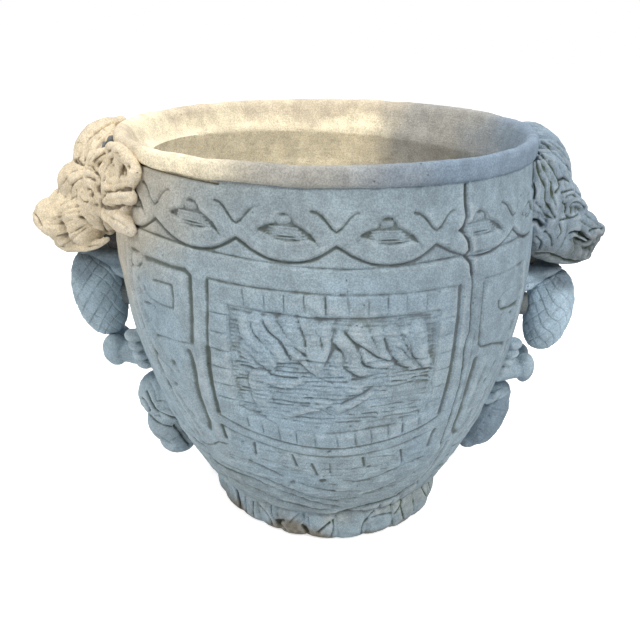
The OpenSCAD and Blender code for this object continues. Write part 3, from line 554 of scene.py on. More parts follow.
def carve_panel(c, by):
    """The framed panel with its leaves, the lines beside it and the air holes."""
    c.area(moved(PANEL_GROUND, by), -2.8, 7)
    for top, low, pitch, reach, depth, seed in COMBS:
        comb(c, by, top, low, pitch, reach, depth, seed)
    for width, depth, points in FRAME_LINES:
        c.cut(moved(points, by), width, depth * 0.8)
    for width, depth, points in LEAF_LINES:
        c.cut(moved(points, by), width * 0.95, depth * 0.95)
    for start, end, height, points in LEAF_FORMS:
        c.form(moved(points, by), start * 1.08, end * 1.08, height * 1.25)
    for start, end, height, points in SIDE_FORMS:
        c.form(moved(points, by), start, end, height * 0.7)
    carve_bricks(c, by)
    c.area(moved(PANEL_SINK, by), -1.6, 3)
    c.area(moved(LEFT_LEAVES, by), 1.8, 8)
    c.area(moved(RIGHT_LEAVES, by), 1.8, 8)
    carve_strands(c, by)
    c.area(moved(LEFT_POST, by), 1.2, 4)
    for u, z, width, depth in PITS:
        c.cut(((u + by - width * 0.3, z), (u + by + width * 0.3, z + width * 0.2)), width, depth)


# Folds between the slots and the foot: creases, then the swells between them
FOLDS = (
    (2.2, 3.2, ((-290, 150), (-276, 146), (-223, 147), (-167, 145), (-123, 137), (-85, 123), (-42, 108),
        (-11, 98), (30, 85))),
    (1.9, 2.6, ((-247, 160), (-193, 158), (-137, 155), (-109, 149), (-82, 139), (-51, 124), (-18, 115),
        (12, 109))),
    (1.9, 2.4, ((-160, 196), (-121, 183), (-96, 171), (-65, 157), (-32, 146), (3, 141), (38, 145))),
    (2.2, 2.8, ((-218, 119), (-185, 110), (-149, 101), (-109, 94), (-68, 87), (-28, 83), (10, 79))),
    (2.2, 3, ((-4, 126), (40, 127), (77, 131), (113, 138), (149, 149), (184, 165), (214, 192), (232, 214))),
    (2, 2.4, ((22, 170), (52, 164), (86, 170), (118, 181), (152, 191), (188, 199))),
    (1.7, 1.8, ((-31, 164), (9, 159), (36, 161), (55, 166))),
    (3.6, 7.5, ((10, 62), (31, 66), (60, 74), (92, 82), (140, 86), (175, 88), (196, 105), (232, 119),
        (244, 149), (245, 184), (249, 206))),
    (2.2, 3.4, ((128, 84), (134, 76), (132, 66))),
    (2.2, 3.4, ((188, 98), (194, 84), (190, 68))),
    (2.2, 3.4, ((228, 116), (236, 96), (232, 70))),
)
SWELLS = (
    (13, 11, 3.2, ((-200, 178), (-160, 178), (-121, 168), (-90, 157), (-60, 143), (-25, 131), (10, 126),
        (60, 136), (110, 148), (160, 164), (200, 184))),
    (9, 8, 2.4, ((-140, 147), (-120, 143), (-85, 131), (-45, 116), (-10, 106), (30, 98), (90, 106),
        (150, 124))),
    (13, 11, 3.4, ((-290, 132), (-276, 131), (-223, 133), (-167, 129), (-123, 118), (-85, 106), (-42, 96),
        (-11, 90))),
    (13, 10, 3, ((-260, 100), (-230, 97), (-185, 90), (-131, 82), (-80, 77), (-30, 75), (10, 76))),
    (14, 14, 3.4, ((22, 149), (86, 151), (118, 160), (152, 172), (188, 184), (214, 204))),
    (15, 16, 3, ((31, 102), (92, 110), (140, 117), (184, 134), (214, 156))),
    (12, 12, 3.4, ((100, 74), (120, 76))),
    (13, 13, 3.6, ((142, 76), (176, 78))),
    (14, 14, 3.8, ((204, 90), (220, 96))),
)


def carve_ridges(c, by):
    """The sagging folds between the slots and the foot."""
    for width, depth, points in FOLDS:
        c.cut(moved(points, by), width, depth)
    for start, end, height, points in SWELLS:
        c.form(moved(points, by), start, end, height)
    for side in (-1, 1):
        for k, z in enumerate((196, 168, 142, 116, 90)):
            points = [(by + side * u, z + 0.05 * (u - 290) + 5 * math.sin(u * 0.021 + k))
                      for u in range(292, 560, 24)]
            c.form(points, 11, 11, 3.2)
            c.cut([(u, v - 13) for u, v in points], 2.0, 2.4)


def activate(obj):
    bpy.ops.object.select_all(action="DESELECT")
    obj.select_set(True)
    bpy.context.view_layer.objects.active = obj


def linked(name, data):
    obj = bpy.data.objects.new(name, data)
    bpy.context.collection.objects.link(obj)
    return obj


def new_object(name, verts, faces):
    mesh = bpy.data.meshes.new(name)
    mesh.from_pydata(np.asarray(verts).tolist(), [], faces)
    mesh.validate()
    return linked(name, mesh)


def point_values(obj, name, values):
    mesh = obj.data
    layer = mesh.attributes.get(name) or mesh.attributes.new(name, "FLOAT", "POINT")
    layer.data.foreach_set("value", np.asarray(values, np.float32).ravel())


def dress(obj, material, slot, *nodes, angle=50):
    """Gives a finished piece its material and its body, and hides the CAD nodes it stands for."""
    activate(obj)
    bpy.ops.object.shade_smooth_by_angle(angle=math.radians(angle))
    obj.data.materials.clear()
    obj.data.materials.append(material)
    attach(obj, "root")
    if nodes:
        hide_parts(*nodes)
    return obj


def quads(a, b, c, d):
    """Four-cornered faces from four nets of vertex numbers."""
    return np.stack([a, b, c, d], -1).reshape(-1, 4).tolist()


def ring_faces(m, n):
    """Faces of a net of m rings with n points each, closed both ways."""
    i, j = np.meshgrid(np.arange(m), np.arange(n), indexing="ij")
    above, beside = (i + 1) % m, (j + 1) % n
    return quads(i * n + j, i * n + beside, above * n + beside, above * n + j)


def bowl_shell(name, columns, rows, heights, closed):
    """A closed slab of the bowl's wall: the carved face outside, a plain one inside."""
    u, z = np.meshgrid(columns, rows)
    curve = np.where(z < BELLY_Z, LOWER_CURVE, UPPER_CURVE)
    rise = (z - BELLY_Z) / curve
    run = np.sqrt(1 - rise * rise)

    def places(height, pick):
        r = side_r(z[pick]) + run[pick] * height
        lift = z[pick] + rise[pick] * height
        angle = u[pick] / BELLY_R
        t = ramp(lift, 604, 30)
        lift = lift + FRIEZE_LEAN * t * t * (3 - 2 * t) * np.sin(angle)
        return np.stack([r * np.sin(angle), -r * np.cos(angle), lift], -1) / 1000

    n_rows, n_cols = u.shape
    outer = places(heights, slice(None)).reshape(-1, 3)
    picks = np.linspace(0, n_rows - 1, 5).astype(int)
    inner = places(-SLAB, picks).reshape(-1, 3)
    start = n_rows * n_cols

    def at_outer(i, j):
        return i * n_cols + j % n_cols

    def at_inner(i, j):
        return start + i * n_cols + j % n_cols

    last = n_cols if closed else n_cols - 1
    i, j = np.meshgrid(np.arange(n_rows - 1), np.arange(last), indexing="ij")
    faces = quads(at_outer(i, j), at_outer(i, j + 1), at_outer(i + 1, j + 1), at_outer(i + 1, j))
    i, j = np.meshgrid(np.arange(len(picks) - 1), np.arange(last), indexing="ij")
    faces += quads(at_inner(i, j), at_inner(i + 1, j), at_inner(i + 1, j + 1), at_inner(i, j + 1))
    top, high = n_rows - 1, len(picks) - 1
    for j in range(last):
        faces.append([at_outer(top, j), at_outer(top, j + 1), at_inner(high, j + 1), at_inner(high, j)])
        faces.append([at_outer(0, j + 1), at_outer(0, j), at_inner(0, j), at_inner(0, j + 1)])
    if not closed:
        for end, order in ((0, 1), (n_cols - 1, -1)):
            side = [at_outer(i, end) for i in range(n_rows)] + [at_inner(i, end) for i in range(high, -1, -1)]
            faces.append(side[::order])
    obj = new_object(name, np.concatenate([outer, inner]), faces)
    cavity = heights - blurred(heights, 4, closed)
    point_values(obj, "cavity", np.concatenate([cavity.ravel(), np.zeros(len(inner))]))
    return obj


def wall_columns(fine, coarse):
    """Places round a quarter turn each way: close together over the panel, wider beside it."""
    panel = 300
    middle = np.linspace(-panel, panel, int(2 * panel / fine) + 1)
    end = TURN / 4
    side = np.linspace(panel, end, int((end - panel) / coarse) + 1)[1:]
    return np.concatenate([-side[::-1], middle, side])


# Moulded pieces

def unit(v):
    return v / (np.linalg.norm(v) or 1)


def square_to(ahead, out):
    """The direction nearest to out that stands square to ahead."""
    out = np.asarray(out, float)
    return unit(out - ahead * float(out @ ahead))


def smooth_path(points, radii, step):
    """Points and radii closer together along a curve through the given ones."""
    p = [np.asarray(v, float) for v in points]
    p = [2 * p[0] - p[1]] + p + [2 * p[-1] - p[-2]]
    out, widths = [], []
    for k in range(1, len(p) - 2):
        a, b, c, d = p[k - 1], p[k], p[k + 1], p[k + 2]
        n = max(2, int(np.linalg.norm(c - b) / step))
        for t in np.arange(n) / n:
            bend = (2 * a - 5 * b + 4 * c - d) * t * t
            out.append(0.5 * (2 * b + (c - a) * t + bend + (3 * b - a - 3 * c + d) * t ** 3))
            widths.append(radii[k - 1] + (radii[k] - radii[k - 1]) * t)
    return out + [p[-2]], widths + [radii[-1]]


def shaped(obj, kind, **settings):
    """Gives a piece one modifier and applies it."""
    activate(obj)
    modifier = obj.modifiers.new("Shape", kind)
    for key, value in settings.items():
        setattr(modifier, key, value)
    bpy.ops.object.modifier_apply(modifier=modifier.name)


class Clay:
    """A lump put together from balls and rolls, in millimetres, then welded into one skin."""

    def __init__(self):
        self.bm = bmesh.new()

    def ball(self, at, half, turn=None):
        made = bmesh.ops.create_icosphere(self.bm, subdivisions=3, radius=1)
        matrix = Matrix.Translation(at) @ (turn or Matrix.Identity(4)) @ Matrix.Diagonal((*half, 1))
        bmesh.ops.transform(self.bm, matrix=matrix, verts=made["verts"])

    def roll(self, points, radii, flat=1.0, up=(0, 0, 1), sides=14):
        """A tapering roll with round ends. flat squeezes it along up."""
        path, widths = smooth_path(points, radii, max(3.0, min(radii) * 0.6))
        count = len(path)
        ends = (0.02, 0.35, 0.7, 0.92)
        places = [(0, t) for t in ends] + [(k, 1.0) for k in range(count)]
        places += [(count - 1, t) for t in ends[::-1]]
        rings = []
        for n, (k, share) in enumerate(places):
            ahead = unit(path[min(k + 1, count - 1)] - path[max(k - 1, 0)])
            tall = square_to(ahead, up)
            wide = np.cross(ahead, tall)
            push = 0.0
            if share < 1:
                push = widths[k] * math.sqrt(1 - share * share) * (-1 if n < len(ends) else 1)
            middle = path[k] + ahead * push
            ring = []
            for s in range(sides):
                a = 2 * math.pi * s / sides
                spoke = (wide * math.cos(a) + tall * math.sin(a) * flat) * widths[k] * share
                ring.append(self.bm.verts.new(middle + spoke))
            rings.append(ring)
        for low, high in zip(rings, rings[1:]):
            for s in range(sides):
                t = (s + 1) % sides
                self.bm.faces.new((low[s], low[t], high[t], high[s]))
        self.bm.faces.new(rings[0][::-1])
        self.bm.faces.new(rings[-1])

    def skin(self, name, voxel, rounds, factor=0.5):
        """One closed skin over the lump, with points a voxel apart, smoothed a number of rounds."""
        bmesh.ops.scale(self.bm, vec=(0.001, 0.001, 0.001), verts=self.bm.verts)
        bmesh.ops.recalc_face_normals(self.bm, faces=self.bm.faces)
        mesh = bpy.data.meshes.new(name)
        self.bm.to_mesh(mesh)
        self.bm.free()
        obj = linked(name, mesh)
        shaped(obj, "REMESH", mode="VOXEL", voxel_size=voxel / 1000)
        shaped(obj, "SMOOTH", factor=factor, iterations=rounds)
        return obj


def places_of(obj):
    v = np.empty(len(obj.data.vertices) * 3, np.float64)
    obj.data.vertices.foreach_get("co", v)
    n = np.empty(len(v), np.float32)
    obj.data.vertices.foreach_get("normal", n)
    return v.reshape(-1, 3) * 1000, n.reshape(-1, 3).astype(float)


def set_places(obj, v):
    obj.data.vertices.foreach_set("co", (v / 1000).astype(np.float32).ravel())
    obj.data.update()


def engrave(obj, strokes):
    """Presses lines into a skin, or raises them where the depth is negative: width, depth, points."""
    v, n = places_of(obj)
    push = np.zeros(len(v))
    for width, depth, points in strokes:
        p = np.asarray(points, float)
        reach = width * 2.6
        near = np.all((v > p.min(0) - reach) & (v < p.max(0) + reach), 1)
        if not near.any():
            continue
        q = v[near]
        best = np.full(len(q), 1e9)
        for a, b in zip(p, p[1:]):
            d = b - a
            t = np.clip(((q - a) @ d) / max(float(d @ d), 1e-9), 0, 1)
            best = np.minimum(best, np.linalg.norm(q - a - t[:, None] * d, axis=1))
        amount = depth * np.exp(-((best / width) ** 2) * 1.1)
        if depth > 0:
            push[near] = np.maximum(push[near], amount)
        else:
            push[near] += amount
    set_places(obj, v - n * push[:, None])


def view():
    """The viewing place, and the directions ahead, right and up."""
    flat, steep = math.cos(VIEW_PITCH), math.sin(VIEW_PITCH)
    ahead = Vector((math.sin(VIEW_YAW) * flat, math.cos(VIEW_YAW) * flat, -steep))
    level = Vector((math.cos(VIEW_YAW), -math.sin(VIEW_YAW), 0))
    over = level.cross(ahead)
    cs, sn = math.cos(VIEW_ROLL), math.sin(VIEW_ROLL)
    return Vector(VIEW_PLACE), ahead, cs * level + sn * over, cs * over - sn * level


def drawn(obj, strokes, mirror=None):
    """Lines drawn as seen in the view, laid on a skin. mirror gives the matching place on its far side."""
    thinnest, jump = 1.9, 22
    mesh = obj.data
    tree = BVHTree.FromPolygons([v.co for v in mesh.vertices], [tuple(f.vertices) for f in mesh.polygons])
    eye, ahead, right, up = view()
    out = []
    for width, depth, points in strokes:
        path, _ = smooth_path([(x, y, 0) for x, y in points], [1] * len(points), 1.6)
        runs = [[]]
        for x, y, _ in path:
            toward = ahead + right * float((x - CENTRE_X) / FOCUS) - up * float((y - CENTRE_Y) / FOCUS)
            hit = tree.ray_cast(eye, toward.normalized())[0]
            if hit is None or (runs[-1] and (hit * 1000 - Vector(runs[-1][-1])).length > jump):
                runs.append([])
            if hit is not None:
                runs[-1].append(tuple(hit * 1000))
        out += [(max(width, thinnest), depth, run) for run in runs if len(run) > 1]
    if mirror:
        for width, depth, run in list(out):
            far = [tree.find_nearest(Vector(mirror(*q)) / 1000)[0] * 1000 for q in run]
            out.append((width, depth, [tuple(q) for q in far]))
    return out


def weather(obj, waves, seed):
    """Uneven skin: pairs of size and height."""
    v, n = places_of(obj)
    push = np.zeros(len(v))
    for k, (cell, height) in enumerate(waves):
        push += lump_noise(v + 500, cell, seed + k) * height
    set_places(obj, v + n * push[:, None])


def mark_cavities(obj, rounds=8, gain=1.4):
    """Stores how far each point stands above or below the skin round it."""
    v, n = places_of(obj)
    mesh = obj.data
    edges = np.empty(len(mesh.edges) * 2, np.int32)
    mesh.edges.foreach_get("vertices", edges)
    a, b = edges.reshape(-1, 2).T
    count = np.bincount(np.concatenate([a, b]), minlength=len(v)).astype(float)[:, None]
    soft = v.copy()
    for _ in range(rounds):
        total = np.zeros_like(soft)
        for k in range(3):
            total[:, k] = np.bincount(a, soft[b, k], len(v)) + np.bincount(b, soft[a, k], len(v))
        soft = total / np.maximum(count, 1)
    point_values(obj, "cavity", np.einsum("ij,ij->i", v - soft, n) * gain)


# Materials

def wire(tree, kind, inputs=None, **settings):
    """Adds a node. Inputs are values or other nodes' outputs."""
    node = tree.nodes.new(kind)
    for key, value in settings.items():
        setattr(node, key, value)
    for key, value in (inputs or {}).items():
        if isinstance(value, bpy.types.NodeSocket):
            tree.links.new(value, node.inputs[key])
        else:
            node.inputs[key].default_value = value
    return node


# Sockets of the colour mixing node
MIX_A, MIX_B, MIX_COLOUR = 6, 7, 2


def blend(tree, factor, a, b, kind="MIX"):
    node = wire(tree, "ShaderNodeMix", {0: factor, MIX_A: a, MIX_B: b}, data_type="RGBA", blend_type=kind)
    return node.outputs[MIX_COLOUR]


def between(tree, value, low, high, start=0.0, end=1.0):
    """The value's place between low and high, as a share."""
    inputs = {0: value, 1: low, 2: high, 3: start, 4: end}
    return wire(tree, "ShaderNodeMapRange", inputs, interpolation_type="SMOOTHSTEP").outputs[0]


def sums(tree, kind, a, b, c=0.0):
    return wire(tree, "ShaderNodeMath", {0: a, 1: b, 2: c}, operation=kind).outputs[0]


def noise(tree, where, scale, detail=4.0, rough=0.55, twist=0.0):
    inputs = {"Vector": where, "Scale": scale, "Detail": detail, "Roughness": rough, "Distortion": twist}
    return wire(tree, "ShaderNodeTexNoise", inputs).outputs["Fac"]


def stretched(tree, where, x, y, z):
    return wire(tree, "ShaderNodeMapping", {"Vector": where, "Scale": (x, y, z)}).outputs[0]


def object_place(tree):
    return wire(tree, "ShaderNodeTexCoord").outputs["Object"]


def new_group(name, inputs, outputs):
    tree = bpy.data.node_groups.new(name, "ShaderNodeTree")
    for label, kind, value in inputs:
        socket = tree.interface.new_socket(name=label, in_out="INPUT", socket_type=kind)
        socket.default_value = value
    for label, kind in outputs:
        tree.interface.new_socket(name=label, in_out="OUTPUT", socket_type=kind)
    return tree, tree.nodes.new("NodeGroupInput").outputs, tree.nodes.new("NodeGroupOutput").inputs


def cast_concrete_group():
    """Colour, roughness and grain of weathered concrete, darker in its hollows with grime and painted shade.
    """
    name = "Cast concrete"
    if name in bpy.data.node_groups:
        return bpy.data.node_groups[name]
    dark_grain, pale_grain, worn_edge = (0.12, 0.115, 0.105, 1), (0.75, 0.74, 0.7, 1), (0.7, 0.72, 0.72, 1)
    colour, number = "NodeSocketColor", "NodeSocketFloat"
    tree, given, result = new_group(
        name,
        (
            ("Body", colour, (0.4, 0.45, 0.48, 1)), ("Blotch", colour, (0.5, 0.48, 0.42, 1)),
            ("Grime and Shade", colour, (0.07, 0.06, 0.045, 1)), ("Moss", colour, (0.06, 0.085, 0.03, 1)),
            ("Blotch Share", number, 0.4), ("Grime Depth", number, 1.0), ("Moss Share", number, 0.3),
            ("Cavity", number, 0.0),
        ),
        (("Color", colour), ("Roughness", number), ("Height", number)),
    )

    def times(a, b):
        return sums(tree, "MULTIPLY", a, b)

    where = object_place(tree)
    broad = noise(tree, where, 7, 5, 0.6, 0.4)
    middle = noise(tree, where, 42, 6, 0.62)
    fine = noise(tree, where, 420, 3, 0.7)
    speck = noise(tree, where, 1100, 2, 0.6)
    share = times(between(tree, broad, 0.36, 0.66), given["Blotch Share"])
    base = blend(tree, share, given["Body"], given["Blotch"])
    streak = noise(tree, stretched(tree, where, 30, 30, 3), 1.0, 5, 0.6)
    patchy = between(tree, middle, 0.3, 0.7, 0.84, 1.12)
    streaky = between(tree, streak, 0.3, 0.7, -0.045, 0.045)
    tone = times(sums(tree, "ADD", patchy, streaky), between(tree, fine, 0.34, 0.66, 0.8, 1.17))
    grey = wire(tree, "ShaderNodeCombineColor", {0: tone, 1: tone, 2: tone}).outputs[0]
    base = blend(tree, 1.0, base, grey, "MULTIPLY")
    base = blend(tree, between(tree, speck, 0.56, 0.72, 0.0, 0.5), base, dark_grain)
    base = blend(tree, between(tree, speck, 0.36, 0.22, 0.0, 0.42), base, pale_grain)
    pores = wire(tree, "ShaderNodeTexVoronoi", {"Vector": where, "Scale": 95.0, "Randomness": 1.0})
    some = between(tree, noise(tree, where, 23, 2), 0.56, 0.64)
    pore = times(between(tree, pores.outputs["Distance"], 0.15, 0.07), some)
    base = blend(tree, times(pore, 0.5), base, given["Grime and Shade"])
    uneven = between(tree, middle, 0.2, 0.8, -0.45, 0.45)
    # Hollows are darkened with grime and with painted shade, as though less light reached them
    hollow = times(sums(tree, "ADD", given["Cavity"], uneven), given["Grime Depth"])
    dirt_and_shade = between(tree, hollow, -0.35, -2.6)
    base = blend(tree, times(dirt_and_shade, 0.66), base, given["Grime and Shade"])
    worn = times(between(tree, hollow, 0.5, 1.9), 0.16)
    base = blend(tree, worn, base, worn_edge)
    damp = times(between(tree, hollow, -0.15, -1.4), between(tree, broad, 0.42, 0.62))
    base = blend(tree, times(damp, given["Moss Share"]), base, given["Moss"])
    tree.links.new(base, result["Color"])
    dull = sums(tree, "ADD", between(tree, middle, 0.2, 0.8, 0.8, 0.92), times(dirt_and_shade, 0.06))
    tree.links.new(dull, result["Roughness"])
    height = sums(tree, "MULTIPLY_ADD", fine, 0.55, times(middle, 0.9))
    height = sums(tree, "MULTIPLY_ADD", speck, 0.5, height)
    combed = noise(tree, stretched(tree, where, 22, 22, 240), 1.0, 3, 0.6)
    height = sums(tree, "MULTIPLY_ADD", combed, 0.7, height)
    tree.links.new(sums(tree, "SUBTRACT", height, times(pore, 1.6)), result["Height"])
    return tree


def new_material(name):
    material = bpy.data.materials.new(name)
    material.use_nodes = True
    return material, material.node_tree, material.node_tree.nodes["Principled BSDF"]


# Dark colour for grime and painted shade in hollows, and for pores
GRIME_AND_SHADE = (0.07, 0.073, 0.07)


def concrete(name, body, blotch, grime_and_shade=GRIME_AND_SHADE, blotch_share=0.45, grime_depth=1.0, moss=0.3, bump=0.0016,
             slopes=()):
    """Weathered concrete. A slope is (direction, start, end, colour), a slow change of tint."""
    material, tree, skin = new_material(name)
    cavity = wire(tree, "ShaderNodeAttribute", attribute_name="cavity").outputs["Fac"]
    tints = [rgb(body), rgb(blotch)]
    where = object_place(tree)
    for direction, start, end, other in slopes:
        along = wire(tree, "ShaderNodeVectorMath", {0: where, 1: direction}, operation="DOT_PRODUCT")
        sway = between(tree, noise(tree, where, 5, 3), 0.3, 0.7, -0.04, 0.04)
        share = between(tree, sums(tree, "ADD", along.outputs["Value"], sway), start, end)
        paler = rgb(min(1.0, c * 1.12) for c in other)
        tints = [blend(tree, share, tints[0], rgb(other)), blend(tree, share, tints[1], paler)]
    given = {
        "Body": tints[0], "Blotch": tints[1], "Grime and Shade": rgb(grime_and_shade), "Blotch Share": blotch_share,
        "Grime Depth": grime_depth, "Moss Share": moss, "Cavity": cavity,
    }
    group = wire(tree, "ShaderNodeGroup", given, node_tree=cast_concrete_group())
    tree.links.new(group.outputs["Color"], skin.inputs["Base Color"])
    tree.links.new(group.outputs["Roughness"], skin.inputs["Roughness"])
    grain = {"Strength": 0.9, "Distance": bump, "Height": group.outputs["Height"]}
    tree.links.new(wire(tree, "ShaderNodeBump", grain).outputs[0], skin.inputs["Normal"])
    skin.inputs["Specular IOR Level"].default_value = 0.25
    return material


def rgb(values):
    return (*values, 1.0)


# Sizes and colours a user may change

class PlanterBowlSettings(bpy.types.PropertyGroup):
    """Bowl of the planter"""

    carve_depth: bpy.props.FloatProperty(
        name="Carving Depth", description="How deep the reliefs are cut, as a share of the cast ones",
        default=1.0, min=0.0, max=1.3, subtype="FACTOR",
    )
    panel_step: bpy.props.FloatProperty(
        name="Panel Step", description="Distance between the points of the front panel's relief",
        default=0.0022, min=0.0015, max=0.01, unit="LENGTH",
    )
    body: bpy.props.FloatVectorProperty(
        name="Bowl Colour", description="Concrete of the bowl's side",
        default=(0.30, 0.40, 0.47), size=3, min=0, max=1, subtype="COLOR",
    )
    # Warm tint of painted sunlight on the upper left of the bowl
    frieze: bpy.props.FloatVectorProperty(
        name="Sunlit Frieze Colour", description="Concrete at the upper left, warm with painted sunlight",
        default=(0.47, 0.43, 0.35), size=3, min=0, max=1, subtype="COLOR",
    )
    # Cream of painted sunlight inside the bowl
    inside: bpy.props.FloatVectorProperty(
        name="Sunlit Inside Colour", description="Concrete inside the bowl, cream with painted sunlight",
        default=(0.96, 0.85, 0.62), size=3, min=0, max=1, subtype="COLOR",
    )


class PlanterOrnamentSettings(bpy.types.PropertyGroup):
    """Heads, fruit and foot of the planter"""

    skin_step: bpy.props.FloatProperty(
        name="Skin Step", description="Distance between the points of the moulded pieces",
        default=0.002, min=0.0012, max=0.006, unit="LENGTH",
    )
    left_head: bpy.props.FloatVectorProperty(
        name="Left Head Colour", description="Concrete of the left head, cream with painted sunlight",
        default=(0.76, 0.64, 0.45), size=3, min=0, max=1, subtype="COLOR",
    )
    right_head: bpy.props.FloatVectorProperty(
        name="Right Head Colour", description="Concrete of the right head, grey with painted shade",
        default=(0.235, 0.31, 0.385), size=3, min=0, max=1, subtype="COLOR",
    )
    fruit: bpy.props.FloatVectorProperty(
        name="Fruit Colour", description="Concrete of the cones, berries and pods",
        default=(0.35, 0.455, 0.53), size=3, min=0, max=1, subtype="COLOR",
    )
    foot: bpy.props.FloatVectorProperty(
        name="Foot Colour", description="Concrete of the foot",
        default=(0.30, 0.39, 0.45), size=3, min=0, max=1, subtype="COLOR",
    )


# Pieces

class PLANTER_OT_bowl(bpy.types.Operator):
    """Model the bowl: two carved walls, the frieze, and the core with its lip"""

    bl_idname = "planter.bowl"
    bl_label = "Bowl"

    def execute(self, context):
        given = context.scene.planter_bowl
        step = given.panel_step * 1000
        # Painted light: the upper left is tinted warm as painted sunlight, and the right darker as painted
        # shade
        sunlit_tint, damp = given.frieze, (0.25, 0.325, 0.38)
        upper, lower = (0.27, 0.33, 0.36), (0.265, 0.33, 0.36)
        body = concrete(
            "Bowl concrete with painted sun and shade", given.body, (0.36, 0.41, 0.425),
            slopes=(
                ((0, 0, 1), 0.46, 0.56, upper),
                ((0, 0, -1), -0.2, -0.08, lower),
                ((-1, 0, 0.9), 0.62, 0.82, sunlit_tint),
                ((1, 0, 0.35), 0.1, 0.46, damp),
            ),
        )
        # Painted light: the cream inside stands in for sunlight, the lip is painted greyer than it, and the
        # inside is tinted darker toward the right as painted shade
        inside = concrete(
            "Lip and inside concrete with painted sun and shade", given.inside, (0.90, 0.78, 0.56),
            blotch_share=0.5, grime_depth=0.4, moss=0.1, bump=0.0014,
            slopes=(
                ((0, 0, 1), 0.625, 0.65, (0.69, 0.59, 0.435)),
                ((1, 0, -0.6), -0.30, -0.19, (0.30, 0.30, 0.295)),
                ((1, -0.55, 0), -0.12, 0.13, (0.37, 0.36, 0.33)),
                ((1, -0.5, 0), 0.12, 0.30, (0.20, 0.265, 0.34)),
            ),
        )
        rows = np.linspace(BOWL_Z, FRIEZE_FROM, int((FRIEZE_FROM - BOWL_Z) / (step * ROW_SHARE)) + 1)
        walls = (("bowl_wall_front", 0.0, step), ("bowl_wall_back", HALF_TURN, step * BACK_SHARE))
        for name, by, fine in walls:
            columns = wall_columns(fine, SIDE_STEP) + by
            # Places at the back are counted backwards from the front, so its middle is at minus half a turn
            work = Carving(columns - 2 * by, rows)
            carve_frieze(work)
            carve_panel(work, -by)
            carve_ridges(work, -by)
            high = work.heights() * given.carve_depth
            dress(bowl_shell(name, columns, rows, high, False), body, "bowl_concrete", "bowl", angle=65)
        columns = np.linspace(-HALF_TURN, HALF_TURN, FRIEZE_COLUMNS + 1)[:-1]
        rows = np.linspace(FRIEZE_FROM, FRIEZE_TO, FRIEZE_ROWS)
        work = Carving(columns, rows)
        carve_frieze(work)
        high = work.heights() * given.carve_depth
        dress(bowl_shell("bowl_frieze", columns, rows, high, True), body, "bowl_concrete", "bowl", angle=65)
        dress(self.core(), inside, "bowl_concrete", "bowl", angle=65)
        return {"FINISHED"}

    def core(self):
        """The plain core, its lip and its hollow, turned as one closed profile."""
        def inner_r(z):
            curve = LOWER_CURVE - WALL if z < BELLY_Z else UPPER_CURVE - WALL
            return BELLY_R - WALL - curve + math.sqrt(curve * curve - (z - BELLY_Z) ** 2)

        low_r = inner_r(150)
        profile = [(r, BOWL_Z) for r in (DRAIN_R, 80, 150, 209)]
        profile += [(side_at(z) - 13, z) for z in np.linspace(69, 618, 40)]
        profile += [(side_at(627) - 3, 629), *LIP]
        profile += [(inner_r(z), z) for z in np.linspace(604, 150, 92)]
        profile += [(low_r - 6, 138), (low_r - 16, 127), (low_r - 32, 119.5), (low_r - 50, 116.6)]
        profile += [(r, FLOOR_Z) for r in (145, 110, 70, 40, 24, DRAIN_R)] + [(DRAIN_R, 100), (DRAIN_R, 84)]
        r, z = np.array(profile).T
        n = 440
        angle = np.linspace(0, 2 * math.pi, n, endpoint=False)
        rr, aa = np.meshgrid(r, angle, indexing="ij")
        zz = np.repeat(z[:, None], n, 1)
        u = (aa - math.pi) * BELLY_R
        wave = net_waves(u, zz, CORE_WAVES)
        lip = (zz > 626) & (rr > 270)
        free = (zz > 124) & ((rr < 300) | lip)
        out = np.where(rr < 290, -1.0, 1.0)
        move = np.where(free, wave * np.where(lip, 0.7, 1.0), 0.0)
        rr = rr + out * move * np.where(lip, 0.6, 1.0)
        top = eased(ramp(zz, 600, 30))
        ripple = net_noise(u, zz * 0 + 40, 46, 24) * 1.3 + net_noise(u, zz * 0 + 9, 12, 25) * 0.5 - 0.6
        zz = zz + np.where(lip, ripple, 0.0)
        x, y = rr * np.sin(aa), -rr * np.cos(aa)
        zz = zz + top * x * LIP_SLOPE
        under = lip & (zz - x * LIP_SLOPE < 640) & (rr > 300)
        zz = zz + np.where(under, FRIEZE_LEAN * np.sin(aa) - x * LIP_SLOPE, 0.0)
        verts = np.stack([x, y, zz], -1).reshape(-1, 3) / 1000
        obj = new_object("bowl_core_and_lip", verts, ring_faces(len(r), n))
        # Painted shade: the band under the lip's overhang is darkened
        shaded_joint = (zz > 615) & (rr > 300) & (zz < 634)
        point_values(obj, "cavity", (move * 0.5).ravel() + np.where(shaded_joint, -1.2, 0.0).ravel())
        return obj


class Locks(Clay):
    """Clay that also keeps the lines to be cut in its skin."""

    def __init__(self, place):
        super().__init__()
        self.place = place
        self.strokes = []

    def put(self, at, half, turn=None):
        self.ball(self.place(*at), half, turn)

    def lock(self, points, radii, out, lines=3, depth=1.5, flat=0.85, width=1.4):
        """A roll flattened toward out, and lines along its face."""
        p = [np.array(self.place(*q)) for q in points]
        out = np.asarray(out, float)
        self.roll(p, radii, flat, out)
        path, widths = smooth_path(p, radii, 5)
        for k in range(lines):
            a = ((k + 1) / (lines + 1) * 2 - 1) * 1.25
            stroke = []
            for n in range(1, len(path) - 1):
                ahead = unit(path[n + 1] - path[n - 1])
                tall = square_to(ahead, out)
                across = np.cross(ahead, tall)
                stroke.append(path[n] + (across * math.sin(a) + tall * math.cos(a) * flat) * widths[n])
            if len(stroke) > 2:
                self.strokes.append((width, depth, stroke))

    def line(self, width, depth, points):
        path, _ = smooth_path([np.array(self.place(*q)) for q in points], [1] * len(points), 5)
        self.strokes.append((width, depth, path))


def on_side(x, y, z, proud):
    """A point moved to stand so far proud of the bowl's side."""
    k = (side_at(z) + proud) / math.hypot(x, y)
    return x * k, y * k, z


